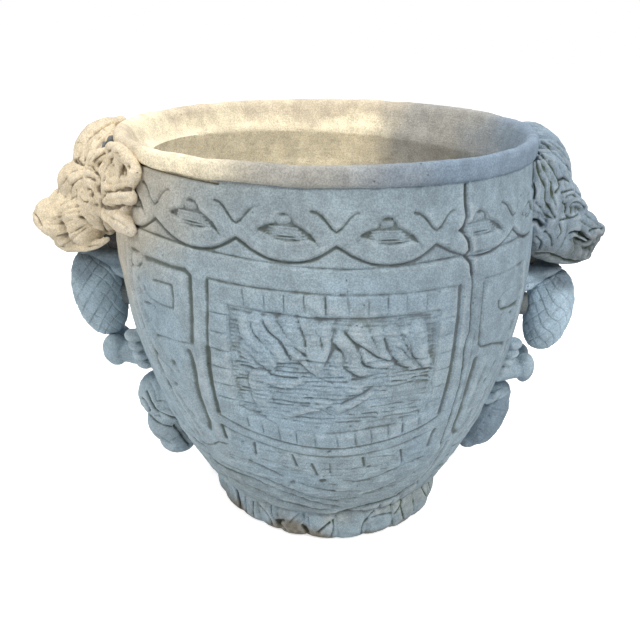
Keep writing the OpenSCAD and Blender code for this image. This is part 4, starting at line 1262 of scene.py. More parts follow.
# Creases of the heads as seen in the view: width, depth, places
LEFT_FACE = (
    (1.6, 3.2, ((79, 196), (81, 200), (85, 202.5), (88, 201))),
    (1.5, 3.4, ((87, 189.5), (90, 190), (92, 193), (91.5, 197))),
    (2.2, 6, ((80, 217), (85, 220), (89, 223.5), (92, 226))),
    (1.7, 3, ((33, 213), (36, 216), (39, 221), (41, 226))),
    (1.4, 2.2, ((57, 237), (66, 234.5), (75, 231), (84, 226.5), (88, 224))),
    (1.6, 2.6, ((57, 243), (60, 246), (63, 247.5))),
    (1.3, 1.8, ((62, 247), (70, 241), (78, 234), (87, 228))),
    (1.6, 3.2, ((88, 247), (95, 246), (108, 245))),
    (1.5, 2.2, ((62, 184), (66, 178), (71, 172.5), (78, 169), (86, 168), (92, 171))),
    (1.5, 2.4, ((70, 192), (72, 185), (78, 179), (86, 177), (94, 180))),
    (1.3, 1.6, ((57, 193), (60, 186), (65, 180))),
    (1.2, 1.3, ((60, 205), (70, 199), (77, 196))),
    (1.2, 1.3, ((60, 213), (70, 208), (79, 206))),
    (1.2, 1.3, ((55, 219), (67, 214), (79, 212))),
    (1.2, 1.2, ((48, 226), (60, 224), (72, 220))),
    (1.2, 1.2, ((76, 205), (86, 207), (97, 205))),
    (1.2, 1.2, ((88, 214), (94, 217), (99, 222))),
)
LEFT_MANE = (
    (2.2, 5.5, ((93.5, 166), (95, 171), (98.5, 177), (100, 184), (99.5, 190), (100, 197), (100.5, 204),
        (100, 211), (100.5, 218), (102, 224), (105, 230), (110, 235))),
    (2, 4.5, ((76, 161), (82, 164), (88, 165.5), (94, 166))),
    (1.4, 2.4, ((80, 157), (84, 147), (90, 138), (98, 131), (106, 126), (114, 122.5))),
    (1.4, 2.2, ((84, 160), (89, 149), (96, 141), (104, 134), (112, 128), (119, 123.5))),
    (1.4, 2, ((89, 162), (94, 153), (101, 145), (108, 136), (114, 130))),
    (1.3, 1.8, ((88, 134), (92, 131), (94, 136), (91, 142))),
    (3, 9, ((104, 170), (107, 164), (110, 159.5), (113, 156.5))),
    (2.8, 7, ((122, 172), (126, 167.5), (128, 167))),
    (2, 5, ((117.5, 178), (120, 174), (123, 171.5))),
    (2, 4, ((114, 154), (116, 152.5), (118, 155))),
    (1.8, 4.5, ((95, 162), (99, 157), (105, 152), (111, 150))),
    (2.2, 5.5, ((104, 178), (100.5, 183), (99.5, 188), (102, 191.5), (108, 191.5), (115, 190), (122, 189.3),
        (131, 189))),
    (2.2, 5.5, ((104, 194), (100, 199), (100.5, 204), (104, 207), (110, 208.2), (117, 207.2), (124, 206.3),
        (131, 206.5))),
    (1.5, 2.4, ((103, 213), (111, 218), (120, 223), (128, 229))),
    (1.3, 1.8, ((106, 183), (113, 184), (121, 182), (128, 182))),
    (1.3, 1.8, ((106, 201), (113, 200.5), (121, 199), (128, 199))),
)
RIGHT_FACE = (
    (1.7, 3.2, ((563, 202), (566, 208), (565, 214), (568, 217), (574, 217), (579, 214))),
    (1.6, 3, ((570, 207), (574, 203), (580, 203), (585, 208))),
    (1.2, 1.8, ((571, 208), (571, 214))),
    (1.2, 1.8, ((575, 207), (576, 213))),
    (1.6, 2.8, ((562, 193), (568, 191), (574, 190), (581, 196), (586, 203), (589, 208))),
    (1.5, 2.4, ((566, 198), (572, 195), (578, 197), (583, 201))),
    (3, 8, ((571, 234), (576, 232.5), (581, 234), (586, 237), (590, 241))),
    (2.2, 5, ((574, 238), (580, 241), (585, 243), (589, 243))),
    (1.6, 3, ((590, 231), (595, 229), (601, 228), (605, 226))),
    (1.5, 2.6, ((560, 220), (567, 218.5), (573, 217.6), (579, 213.5))),
    (1.5, 2.6, ((558, 238.5), (562, 232), (560, 224.5))),
    (1.6, 3.2, ((535, 254), (547, 253.5), (556, 256), (566, 260), (578, 261.5), (586, 261.5))),
    (3.2, 9, ((534, 221), (538, 222), (542, 226.5))),
    (1.6, 3, ((536, 237), (541, 242), (539, 249))),
    (1.4, 2.2, ((545, 232), (551, 238), (552, 246))),
    (1.5, 3, ((588, 256), (590, 250), (588, 246))),
    (1.2, 1.4, ((586, 214), (593, 220), (600, 226))),
    (1.2, 1.4, ((580, 220), (587, 225), (594, 230))),
)
RIGHT_MANE = (
    (1.7, 3.4, ((541, 142), (548, 147), (556, 154), (564.5, 163), (572, 173))),
    (1.5, 2.6, ((549, 141), (558, 147), (566, 156), (573, 166))),
    (1.5, 2.6, ((558, 142), (566, 149), (571, 158))),
    (2.6, 7, ((560, 180), (564, 178.5), (569, 180))),
    (1.8, 3.8, ((537, 152.6), (543, 157), (548, 162), (554, 171), (558, 179), (560, 187), (556, 192))),
    (1.8, 3.8, ((535, 159), (538, 170), (543, 181), (546, 190), (546, 201), (551, 212), (556, 218))),
    (1.5, 2.6, ((541, 162), (546, 172), (551, 183), (552, 195), (556, 205))),
    (1.5, 2.4, ((547, 158), (553, 167), (557, 176))),
    (2.6, 7, ((532, 185), (534, 192), (533, 198))),
    (1.6, 3, ((536, 203), (541, 208), (546, 216), (553, 219))),
    (1.5, 2.4, ((534, 211), (540, 214), (546, 222))),
)


# Forms of a head, measured forward, sideways and up from its seat: balls in its middle, balls on both sides,
# rolls on both sides, and the chin. A ball is (place, half sizes), a roll (places, radii)
SEAT_X, SEAT_Z = 343, 447
LEFT_FORMS = (
    (
        ((24, 0, 88), (50, 60, 52)), ((48, 0, 102), (31, 38, 36)), ((62, 0, 70), (36, 36, 32)),
        ((84, 0, 60), (36, 27, 26)), ((106, 0, 52), (18, 21, 20)), ((115, 0, 57), (9, 13, 10)),
        ((76, 0, 30), (30, 22, 18)),
    ),
    (
        ((44, 32, 66), (36, 24, 34)), ((90, 14, 44), (26, 15, 18)), ((16, 48, 86), (36, 30, 40)),
        ((48, 34, 40), (27, 19, 22)), ((39, 40, 95), (10.5, 8.5, 9.5)), ((66, 14, 22), (30, 15, 13)),
        ((26, 30, 116), (30, 34, 26)),
    ),
    (
        (((16, 60, 36), (32, 52, 27), (54, 34, 17), (78, 14, 12), (92, 2, 15)), (4, 7, 9, 9, 8)),
        (((62, 12, 118), (56, 28, 120), (42, 42, 114), (26, 52, 106)), (7, 8, 8, 6)),
        (((62, 26, 86), (48, 42, 84), (32, 50, 88)), (5, 5, 4)),
    ),
    ((86, 0, 16), (13, 15, 9)),
)
RIGHT_FORMS = (
    (
        ((24, 0, 96), (50, 60, 56)), ((48, 0, 112), (31, 38, 34)), ((62, 0, 84), (36, 36, 34)),
        ((86, 0, 74), (30, 27, 26)), ((104, 0, 66), (19, 20, 19)), ((119, 0, 68), (11, 14, 12)),
        ((109, 0, 52), (15, 16, 13)), ((104, 0, 38), (13, 15, 14)), ((62, 0, 40), (34, 26, 20)),
        ((96, 0, 46), (16, 15, 16)),
    ),
    (
        ((44, 32, 80), (36, 24, 34)), ((90, 14, 58), (24, 15, 17)), ((12, 54, 76), (38, 34, 48)),
        ((36, 40, 46), (36, 22, 24)), ((48, 38, 98), (12, 9, 10)), ((84, 14, 28), (26, 14, 13)),
        ((60, 26, 34), (32, 16, 18)), ((26, 30, 132), (32, 34, 30)),
    ),
    (
        (((2, 66, 44), (26, 54, 34), (52, 36, 26), (80, 16, 21), (104, 4, 25)), (9, 11, 12, 11, 9)),
        (((84, 10, 106), (70, 24, 116), (54, 38, 120), (36, 50, 114)), (7, 9, 9, 7)),
        (((76, 26, 88), (60, 42, 86), (42, 50, 88)), (5, 5, 4)),
    ),
    ((102, 0, 25), (13, 13, 10)),
)
# Curls that lie back along the bowl's side: places, radii
CURLS = (
    (((-347, 76, 590), (-345, 80, 603), (-332, 88, 613), (-313, 103, 621), (-289, 148, 628),
      (-275, 174, 626), (-265, 190, 621), (-261, 198, 612), (-268, 195, 600), (-280, 184, 594)),
     (7, 9, 10, 10.5, 10.5, 10.5, 10, 10, 9, 8)),
    (((-332, 95, 588), (-326, 98, 602), (-311, 112, 612), (-294, 143, 618), (-283, 162, 615),
      (-287, 164, 606), (-302, 143, 598), (-318, 118, 588), (-334, 94, 582)),
     (7, 8.5, 9, 9, 8.5, 8, 9, 9, 8)),
    (((-334, 94, 574), (-312, 124, 580), (-287, 168, 592), (-269, 192, 598)), (9, 10.5, 10.5, 9)),
    (((-336, 96, 553), (-315, 127, 560), (-289, 171, 573), (-272, 194, 579)), (11, 13, 13.5, 11)),
    (((-337, 96, 534), (-319, 124, 537), (-293, 172, 542), (-277, 197, 537)), (11, 15, 17, 10)),
)
# Broad locks over the left head's crown: places, radii, facing, lines, flatness
LEFT_CROWN = (
    (((-388, -8, 590), (-380, 4, 606), (-364, 18, 622), (-344, 32, 632), (-328, 44, 637)),
     (8, 16, 20, 18, 10), (-0.7, -0.4, 0.6), 0, 0.6),
    (((-374, -24, 586), (-362, -14, 604), (-346, 0, 617), (-333, 16, 626)),
     (10, 15, 16, 11), (-0.5, -0.6, 0.6), 0, 0.6),
    (((-384, 24, 588), (-376, 36, 604), (-360, 50, 618), (-340, 64, 628)),
     (9, 15, 16, 10), (-0.7, 0.2, 0.7), 2, 0.7),
    (((-372, 48, 578), (-362, 62, 594), (-346, 76, 606), (-334, 88, 614)),
     (9, 14, 14, 9), (-0.6, 0.5, 0.6), 2, 0.7),
)
# Long locks of the right head, from the lip over the crown to the brow, highest at the far side
RIGHT_CROWN = (
    ((312, 108, 634), (328, 106, 641), (345, 100, 639), (359, 90, 629), (367, 80, 614)),
    ((313, 86, 648), (331, 83, 654), (350, 76, 653), (365, 66, 645), (375, 53, 631), (379, 42, 614)),
    ((313, 61, 650), (333, 58, 655), (353, 50, 652), (369, 40, 641), (380, 28, 625), (385, 17, 608)),
    ((315, 36, 649), (335, 32, 653), (356, 26, 649), (373, 18, 636), (384, 8, 618), (389, 0, 600)),
    ((318, 10, 646), (338, 6, 650), (358, 2, 645), (374, -4, 631), (384, -10, 613), (389, -14, 595)),
    ((323, -16, 642), (341, -20, 644), (358, -24, 637), (371, -28, 622), (379, -32, 604), (382, -34, 586)),
    ((329, -41, 633), (344, -45, 633), (357, -48, 622), (366, -50, 606), (371, -51, 588), (371, -50, 572)),
    ((333, -60, 620), (344, -65, 615), (353, -68, 601), (360, -68, 584), (364, -66, 566), (365, -62, 550)),
    ((334, -76, 602), (343, -81, 592), (350, -82, 576), (355, -80, 558), (358, -76, 541)),
)
CROWN_RADII = (12, 14, 14, 13, 11, 8)
# Locks that hang down the near side of the right head
RIGHT_FALL = (
    ((309, -99, 628), (313, -99, 606), (315, -98, 584), (314, -97, 562), (312, -95, 540)),
    ((322, -92, 630), (326, -92, 606), (328, -92, 584), (327, -92, 562)),
    ((322, -84, 636), (334, -79, 628), (344, -73, 614)),
)
FALL_RADII = (9, 11, 12, 11, 9)
# The dark bed between a head and the bowl, painted near black as shadow in the gap, as a roll at the right:
# places, radii
JOINT = ((323, -38, 622), (331, -28, 600), (342, -14, 540), (350, -8, 490), (346, -4, 462))
JOINT_RADII = (8, 12, 14, 19, 17)
CAST_WAVES = ((22, 1.2), (8, 0.6), (3.6, 0.25))
# The heads stay within the snouts' reach and the crown's height
SNOUT_X, CROWN_Z = 471.5, 668


class PLANTER_OT_heads(bpy.types.Operator):
    """Model the two lion heads with their manes"""

    bl_idname = "planter.heads"
    bl_label = "Lion Heads"

    def execute(self, context):
        given = context.scene.planter_ornament
        step = given.skin_step * 1000
        # Painted light: the left head is cream as painted sunlight, the right head grey as painted shade
        left = concrete(
            "Left head concrete with painted sunlight", given.left_head, (0.56, 0.50, 0.41),
            grime_and_shade=(0.11, 0.09, 0.075), blotch_share=0.55, moss=0.0,
        )
        # The right head is darker under its chin, as painted shade
        right = concrete(
            "Right head concrete with painted shade", given.right_head, (0.27, 0.325, 0.345),
            grime_and_shade=(0.06, 0.065, 0.05), moss=0.6, bump=0.0018,
            slopes=(((0, 0, -1), -0.505, -0.47, (0.15, 0.18, 0.195)),),
        )
        head = self.head("left_lion_head_skin", -1, math.radians(12), step)
        dress(head, left, "head_concrete", "left_lion_head")
        head = self.head("right_lion_head_skin", 1, math.radians(6), step)
        dress(head, right, "head_concrete", "right_lion_head")
        # Painted shadow: a near-black piece fills the gap behind each head
        shade = concrete("Joint painted shadow", (0.07, 0.07, 0.07), (0.1, 0.1, 0.095), blotch_share=0.6)
        dress(self.shaded_joint("left_head_joint", -1, step), shade, "head_concrete", "left_lion_head")
        dress(self.shaded_joint("right_head_joint", 1, step), shade, "head_concrete", "right_lion_head")
        return {"FINISHED"}

    def shaded_joint(self, name, side, step):
        """A near-black bed in the open joint between a head and the bowl, standing in as painted shadow in
        the gap.
        """
        c = Clay()
        c.roll([(side * x, y, z) for x, y, z in JOINT], JOINT_RADII)
        obj = c.skin(name, step, 6, 0.6)
        weather(obj, CAST_WAVES, 43)
        mark_cavities(obj)
        return obj

    def head(self, name, side, turn, step):
        """One head. side is -1 at the left and 1 at the right, turn the angle at which it looks round."""
        right = side > 0
        cs, sn = math.cos(turn), math.sin(turn)

        def place(f, s, u):
            return side * (SEAT_X + f * cs - s * sn), -(s * cs + f * sn), SEAT_Z + u

        def across(x, y, z):
            a, b = side * x - SEAT_X, -y
            f, s = a * cs + b * sn, b * cs - a * sn
            return place(f, -s, z - SEAT_Z)

        c = Locks(place)
        f_axis, s_axis = Vector((side * cs, -sn, 0)), Vector((-side * sn, -cs, 0))
        axes = Matrix((f_axis, s_axis, Vector((0, 0, 1)))).transposed().to_4x4()
        balls, pairs, rolls, chin = RIGHT_FORMS if right else LEFT_FORMS
        for at, half in (*balls, chin):
            c.put(at, half, axes)
        for s in (-1, 1):
            for at, half in pairs:
                c.put((at[0], at[1] * s, at[2]), half, axes)
            for points, radii in rolls:
                c.lock([(f, q * s, u) for f, q, u in points], radii, place(1, 0, 0.6), lines=0)
        c.ball((side * 352, 0, 556 if right else 548), (24, 78, 74))
        self.mane(c, side)
        obj = c.skin(name, step, 2)
        face, mane = (RIGHT_FACE, RIGHT_MANE) if right else (LEFT_FACE, LEFT_MANE)
        deeper = [(width, depth * 1.4, points) for width, depth, points in face]
        engrave(obj, drawn(obj, deeper, across))
        engrave(obj, c.strokes + drawn(obj, mane, lambda x, y, z: (x, -y, z)))
        weather(obj, ((26, 0.8), (9, 0.5), (4.6, 0.4)), 32 if right else 31)
        v, n = places_of(obj)
        if right:
            # The muzzle's front is broken open and porous
            f = (v[:, 0] - SEAT_X) * cs + (-v[:, 1]) * sn
            rough = ramp(f, 92, 14) * ramp(v[:, 2], 474, 8) * ramp(-v[:, 2], -525, 8)
            lumps = lump_noise(v + 500, 5.2, 77) * 2.2 + lump_noise(v + 500, 9, 78) * 1.2
            v += n * (rough * lumps)[:, None]
        v[:, 0] = np.clip(v[:, 0], -SNOUT_X, SNOUT_X)
        v[:, 2] = np.minimum(v[:, 2], CROWN_Z)
        set_places(obj, v)
        mark_cavities(obj, 10, 1.3)
        return obj

    def mane(self, c, side):
        """Curls beside the bowl and locks over the crown, placed in the planter's own measures."""
        right = side > 0
        c.place = lambda x, y, z: (x, y, z)
        for near in (-1, 1):
            # The right head has the row of curls on its far side only
            curled = near > 0 or not right
            for points, radii in CURLS if curled else ():
                p = []
                for x, y, z in points:
                    away = math.hypot(x, y)
                    p.append(on_side(-side * x, near * y, z, 8 if away < 344 else away - side_at(z)))
                c.lock(p, radii, (side * 0.75, near * 0.66, 0.1), lines=0, flat=0.95)
            if curled:
                c.ball(on_side(side * 318, near * 120, 566, 0), (20, 40, 44))
                c.ball(on_side(side * 292, near * 166, 576, -2), (16, 30, 36))
            c.ball((side * 346, near * 76, 560), (18, 26, 46))
        if not right:
            # One broad leaf-like lock sweeps up and back over the far brow, others lie beside it
            for points, radii, out, lines, flat in LEFT_CROWN:
                c.lock(points, radii, out, lines=lines, depth=1.6, flat=flat)
            return
        for points in RIGHT_CROWN:
            c.lock(points, CROWN_RADII[: len(points)], (0.75, 0, 0.66), lines=2, depth=1.6, width=1.1)
        c.ball((332, -84, 556), (18, 14, 48))
        for points in RIGHT_FALL:
            c.lock(points, FALL_RADII[: len(points)], (0.6, -0.8, 0.1), lines=1, depth=1.8)
        c.ball((338, -60, 600), (20, 30, 40))


# Creases of the left pod as seen in the view
LEFT_POD = (
    (3, 7, ((141, 398), (144, 401), (147, 406), (149, 412))),
    (2.2, 4.5, ((146, 391), (149, 398), (152, 404), (157, 411), (165, 415), (173, 418), (182, 419))),
    (2, 3.6, ((148, 413), (154, 420), (163, 425), (172, 427))),
    (3, 6.5, ((175, 426), (180, 432), (184, 438), (190, 445))),
    (1.9, 1.8, ((150, 402), (160, 401), (170, 402), (178, 405))),
    (1.9, 1.8, ((151, 383), (155, 392), (156, 401))),
    (1.9, 1.6, ((160, 411), (168, 409), (176, 411))),
    (1.9, 2, ((152, 432), (162, 438), (172, 444))),
)


# Ribs of the brackets: distance beside the axis, how far the top ribs draw together, height
BRACKET_TOP = ((338, 1, 439), (360, 1, 441), (384, 0.9, 444), (402, 0.7, 449))
BRACKET_FOOT = ((335, 412), (350, 420), (370, 432))
# The cones: middle and half sizes
LEFT_CONE = ((-388, 0, 376), (45, 46, 76))
RIGHT_CONE = ((401, 0, 366), (47, 46, 77))
# Balls of the left pod, and the rolls of the right pod and of its cap: places, radii
LEFT_POD_FORMS = (
    ((312, -6, 186), (36, 43, 45)), ((303, -8, 132), (35, 41, 42)), ((288, -4, 92), (34, 37, 29)),
    ((290, -34, 176), (22, 18, 40)),
)
RIGHT_POD_BODY = (
    ((328, -6, 194), (323, -6, 172), (314, -6, 140), (300, -5, 110), (284, -4, 93)), (30, 38, 40, 36, 23),
)
RIGHT_POD_CAP = (
    ((300, -38, 196), (318, -40, 206), (336, -22, 208), (340, 4, 204), (332, 26, 198)), (9, 9, 10, 9, 8),
)
POD_RIB = ((-34, -42, 6), (-14, -34, 1), (-4, -12, -4), (-6, 14, -4), (-26, 34, 0))


class PLANTER_OT_fruit(bpy.types.Operator):
    """Model the brackets, pine cones, berries, ribbed drops and seed pods under the heads"""

    bl_idname = "planter.fruit"
    bl_label = "Hanging Fruit"

    def execute(self, context):
        given = context.scene.planter_ornament
        step = given.skin_step * 1000
        # Painted light: darker toward the lower right as painted shade, paler at the top right as painted
        # light, dark under the heads as painted shadow
        stone = concrete(
            "Fruit concrete with painted light and shade", given.fruit, (0.37, 0.43, 0.45),
            grime_and_shade=(0.08, 0.08, 0.068), moss=0.4,
            slopes=(
                ((1, 0, -1), 0.06, 0.14, (0.21, 0.28, 0.34)),
                ((1, 0, 1), 0.68, 0.74, (0.44, 0.57, 0.67)),
                ((0, 0, 1), 0.422, 0.448, (0.19, 0.25, 0.30)),
            ),
        )
        for word, side in (("left", -1), ("right", 1)):
            self.bracket(word, side, step, stone)
            self.cone(word, side, stone)
            self.berries(word, side, step, stone)
            self.drops(word, side, step, stone)
            self.pod(word, side, step, stone)
        return {"FINISHED"}

    def finish(self, obj, waves, seed, stone, node):
        weather(obj, waves, seed)
        mark_cavities(obj)
        dress(obj, stone, "ornament_concrete", node)

    def bracket(self, word, side, step, stone):
        c = Clay()
        span = 0.62 if side < 0 else 1.0
        for y in (-27, -9, 9, 27):
            c.roll([(side * x, y * share * span, z) for x, share, z in BRACKET_TOP], (15, 14, 9, 5))
        for y in (-23, 0, 23):
            c.roll([(side * x, y * span, z) for x, z in BRACKET_FOOT], (11, 11, 8))
        obj = c.skin(word + "_bracket_skin", step, 6, 0.6)
        self.finish(obj, CAST_WAVES, 41, stone, word + "_chin_bracket")

    def cone(self, word, side, stone):
        """An egg-like body with its scales in crossing rows, each proud at its lower edge."""
        at, half = LEFT_CONE if side < 0 else RIGHT_CONE
        rows, cols = 190, 230
        heights, angles = np.linspace(0, 1, rows + 2)[1:-1], np.linspace(0, 2 * math.pi, cols, endpoint=False)
        t, a = np.meshgrid(heights, angles, indexing="ij")
        fall = t * math.pi
        wide = np.sin(fall) ** 0.72 * (1 - 0.16 * (t - 0.42))
        around = a / (2 * math.pi) * 11 + 0.1 * np.sin(5 * a + 9 * t)
        down = t * 8.2 + 0.12 * np.sin(4 * a)
        p, q = around + down, around - down
        fp, fq = p - np.floor(p), q - np.floor(q)
        groove = np.minimum(np.minimum(fp, 1 - fp), np.minimum(fq, 1 - fq))
        tip = np.clip((fp + 1 - fq) / 2, 0, 1)
        lower = np.minimum(1 - fp, fq)
        scale = 2.0 * tip ** 1.3 * np.clip(lower / 0.1, 0, 1)
        edge, crease = 0.8 * np.exp(-((lower / 0.06) ** 2)), 0.2 * np.exp(-((groove / 0.05) ** 2))
        high = scale - edge - crease + 0.5 * np.clip(groove / 0.4, 0, 1)
        high = high * np.clip(np.minimum(t, 1 - t) / 0.06, 0, 1)
        n = np.stack([wide * np.cos(a) / half[0], wide * np.sin(a) / half[1], np.cos(fall) / half[2]], -1)
        n /= np.linalg.norm(n, axis=-1, keepdims=True)
        v = np.stack([half[0] * wide * np.cos(a), half[1] * wide * np.sin(a), half[2] * np.cos(fall)], -1)
        v = v + n * (high[..., None] - 2.6)
        lean = v[..., 2] / half[2]
        v[..., 0] += side * (-5 * lean * lean + 1.5 * lean)
        v = v.reshape(-1, 3) + np.array(at)
        lumps = lump_noise(v + 700, 20, 51) * 0.9 + lump_noise(v + 700, 6, 52) * 0.4
        v = v + n.reshape(-1, 3) * lumps[:, None]
        top, low = v[:cols].mean(0) + (0, 0, 0.6), v[-cols:].mean(0) - (0, 0, 0.6)
        i, j = np.meshgrid(np.arange(rows - 1), np.arange(cols), indexing="ij")
        k = (j + 1) % cols
        faces = quads(i * cols + j, (i + 1) * cols + j, (i + 1) * cols + k, i * cols + k)
        last = rows * cols
        for j in range(cols):
            k = (j + 1) % cols
            faces.append((last, j, k))
            faces.append((last + 1, last - cols + k, last - cols + j))
        obj = new_object(word + "_cone_scales", np.concatenate([v, [top, low]]) / 1000, faces)
        point_values(obj, "cavity", np.concatenate([(high - 0.9).ravel() * 0.62, [0, 0]]))
        dress(obj, stone, "ornament_concrete", word + "_pine_cone")

    def berries(self, word, side, step, stone):
        low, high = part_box(word + "_berries")
        x = side * (abs(low[0]) + abs(high[0])) / 2 * 1000
        z = (low[2] + high[2]) / 2 * 1000
        z += 21 if side < 0 else 0
        c = Clay()
        out, wide = (372, 21) if side < 0 else (368, 18)
        for y in (-22, 22):
            c.ball((side * out, y, z), (wide, 22, 29))
            c.roll([(side * (out - 14), y, z - 2), (side * (abs(x) - 38), y, z - 6)], (19, 23))
        waves = ((18, 0.8), (6, 0.35))
        self.finish(c.skin(word + "_berries_skin", step, 3), waves, 61, stone, word + "_berries")

    def drops(self, word, side, step, stone):
        c = Clay()
        for near in (-1, 1):
            for k in range(4):
                x, y, z = on_side(side * 310, near * (70 + (2 - k) * 3), 331 - k * 18, 9)
                r = math.hypot(x, y)
                turn = Matrix((Vector((x / r, y / r, 0)), Vector((-y / r, x / r, 0)), Vector((0, 0, 1))))
                c.ball((x, y, z), (15, 17, 10), turn.transposed().to_4x4())
            p = [on_side(side * 310, near * (78 - j * 3), 338 - j * 19, -3) for j in range(4)]
            c.roll(p, (9, 10, 10, 8), 0.8, (side, 0, 0))
        waves = ((16, 0.7), (6, 0.35))
        self.finish(c.skin(word + "_drops_skin", step, 3), waves, 71, stone, word + "_ribbed_drop")

    def pod(self, word, side, step, stone):
        c = Locks(lambda x, y, z: (side * x, y, z))
        seen = ()
        if side < 0:
            for at, half in LEFT_POD_FORMS:
                c.put(at, half)
            seen = LEFT_POD
        else:
            c.lock(*RIGHT_POD_BODY, (side * 0.8, -0.5, -0.3), lines=0)
            c.lock(*RIGHT_POD_CAP, (side, 0, 0.4), lines=1)
            for k in range(8):
                x, z = 362 - k * 10.5, 186 - k * 14.5
                c.line(1.7, 2.4, [(x + dx, y, z + dz) for dx, y, dz in POD_RIB])
            for y in (-32, -12, 10, 28):
                c.line(1.5, 1.8, ((350, y, 186), (340, y, 160), (322, y, 130), (300, y, 104), (282, y, 84)))
        obj = c.skin(word + "_pod_skin", step, 3)
        engrave(obj, c.strokes + drawn(obj, seen))
        self.finish(obj, ((18, 0.9), (7, 0.5), (3.6, 0.2)), 81, stone, word + "_seed_pod")


# Creases of the foot as seen in the view
FOOT_LINES = (
    (2, 4.5, ((220, 473), (225, 477), (230, 482), (235.7, 489), (238.5, 497), (240, 505), (240.5, 512))),
    (1.6, 2.6, ((226, 484), (229, 491), (231, 499))),
    (1.7, 3, ((244.5, 497), (245.6, 506), (246.4, 514))),
    (1.7, 3, ((253, 502), (252.7, 512), (254, 519))),
    (1.8, 3.4, ((259.7, 506), (265, 512), (270, 520), (273, 529))),
    (1.6, 2.6, ((271, 505), (271.6, 514), (275, 520))),
    (4.2, 10, ((279, 522.5), (283, 528), (287.5, 534))),
    (2.6, 7, ((276.5, 521), (283, 520.5))),
    (1.6, 2.6, ((289.6, 523), (294.5, 518), (299.5, 514))),
    (3, 7.5, ((303, 526), (307, 531), (309.5, 535))),
    (1.6, 2.6, ((307.5, 517), (308.6, 526))),
    (2.6, 5.5, ((318, 533), (324, 528), (330, 523))),
    (2, 3.6, ((333, 520), (334, 528), (331, 538))),
    (2, 3.6, ((361.5, 534), (363.5, 524), (367.5, 518), (374, 511))),
    (1.7, 3, ((366, 520), (376, 516.5), (383, 514.5), (391, 513))),
    (2, 3.8, ((395, 514), (400, 507), (401.5, 500), (397, 497))),
    (2, 3.8, ((401, 506), (403, 514.6), (404.5, 521))),
    (1.4, 1.8, ((392, 521), (393, 528))),
    (2, 3.6, ((419, 480), (423, 489), (427, 496.5))),
    (1.8, 3, ((425, 472), (429, 483), (431.3, 492))),
)


# Edges of the foot's lobes round the ring, in degrees from the front
LOBE_EDGES = (
    -178, -158, -138, -117, -98, -82, -68, -51, -37, -25, -12, 3, 17, 31, 45, 60, 78, 98, 118, 138, 160, 182,
)
FOOT_TOP = 66
# The foot's plain inner side: radius, height
FOOT_BORE = ((128, FOOT_TOP), (125, 34), (127, 0))


def round_foot(r, degrees, z):
    """A point at a distance from the planter's axis, so many degrees from the front."""
    angle = math.radians(degrees)
    return r * math.sin(angle), -r * math.cos(angle), z


class PLANTER_OT_foot(bpy.types.Operator):
    """Model the foot's ring of lobes"""

    bl_idname = "planter.foot"
    bl_label = "Foot"

    def execute(self, context):
        given = context.scene.planter_ornament
        # Darker and browner down by the ground
        stone = concrete(
            "Foot concrete", given.foot, (0.27, 0.28, 0.25), grime_and_shade=(0.05, 0.052, 0.04),
            blotch_share=0.6, moss=0.9, grime_depth=1.1, bump=0.001,
            slopes=(((0, 0, 1), 0.026, -0.004, (0.17, 0.155, 0.12)),),
        )
        edges = np.array(LOBE_EDGES)
        n, m = 620, 30
        az = np.linspace(edges[0], edges[-1], n, endpoint=False)
        k = np.clip(np.searchsorted(edges, az, side="right") - 1, 0, len(edges) - 2)
        share = (az - edges[k]) / (edges[k + 1] - edges[k])
        rise = np.sqrt(np.clip(1 - (2 * share - 1) ** 2, 0, 1))
        grow = np.random.default_rng(5).uniform(-2.5, 2.5, len(edges))[k]
        zz = FOOT_TOP * np.linspace(0, 1, m)
        round_low = 16 * (1 - np.sqrt(np.clip(1 - (1 - np.clip(zz / 26, 0, 1)) ** 2, 0, 1)))
        round_top = 5 * ramp(zz, 54, 12) ** 2
        # The lobes at the front stand further out
        front = 8 * ramp(az, -12, 16) * ramp(-az, -70, 16)
        lobes = 206 + front + grow * 0.8 + 8.5 * rise
        tuck = round_low[:, None] * (0.7 + 0.3 * rise[None, :])
        r = lobes[None, :] - tuck - round_top[:, None] + 3 * np.sin(zz / FOOT_TOP * math.pi)[:, None]
        a = np.radians(az)[None, :] + 0.01 * np.sin(zz / 11)[:, None]
        u, z = a * BELLY_R, np.repeat(zz[:, None], n, 1)
        r = r + net_noise(u, z, 40, 92) * 1.2 + net_noise(u, z, 12, 93) * 0.7 + net_noise(u, z, 5.5, 94) * 0.4
        outer = np.stack([r * np.sin(a), -r * np.cos(a), z], -1).reshape(-1, 3)
        rings = [np.stack([q * np.sin(a[0]), -q * np.cos(a[0]), np.full(n, h)], -1) for q, h in FOOT_BORE]
        verts = np.concatenate([outer] + rings) / 1000
        obj = new_object("foot_lobes", verts, ring_faces(m + len(FOOT_BORE), n))
        shaped(obj, "REMESH", mode="VOXEL", voxel_size=0.0024)
        # The front's creases are drawn as seen, the others follow the lobes' edges
        lines = drawn(obj, FOOT_LINES)
        for k, edge in enumerate(edges[:-1]):
            if not -70 < edge < 62:
                lean = 3 * math.sin(k * 2.4)
                p = [round_foot(213, edge + lean * (1 - h / FOOT_TOP), h) for h in (64, 48, 32, 16, 2)]
                lines.append((2.2, 4.0, p))
                mid = edge + (edges[k + 1] - edge) * 0.55
                lines.append((1.6, 2.4, [round_foot(218, mid + lean * h / 30, h) for h in (58, 44, 30, 18)]))
        engrave(obj, lines)
        v, _ = places_of(obj)
        v[:, 2] = np.clip(v[:, 2], 0, FOOT_TOP + 1)
        set_places(obj, v)
        mark_cavities(obj, 10)
        dress(obj, stone, "foot_concrete", "foot_ring")
        return {"FINISHED"}


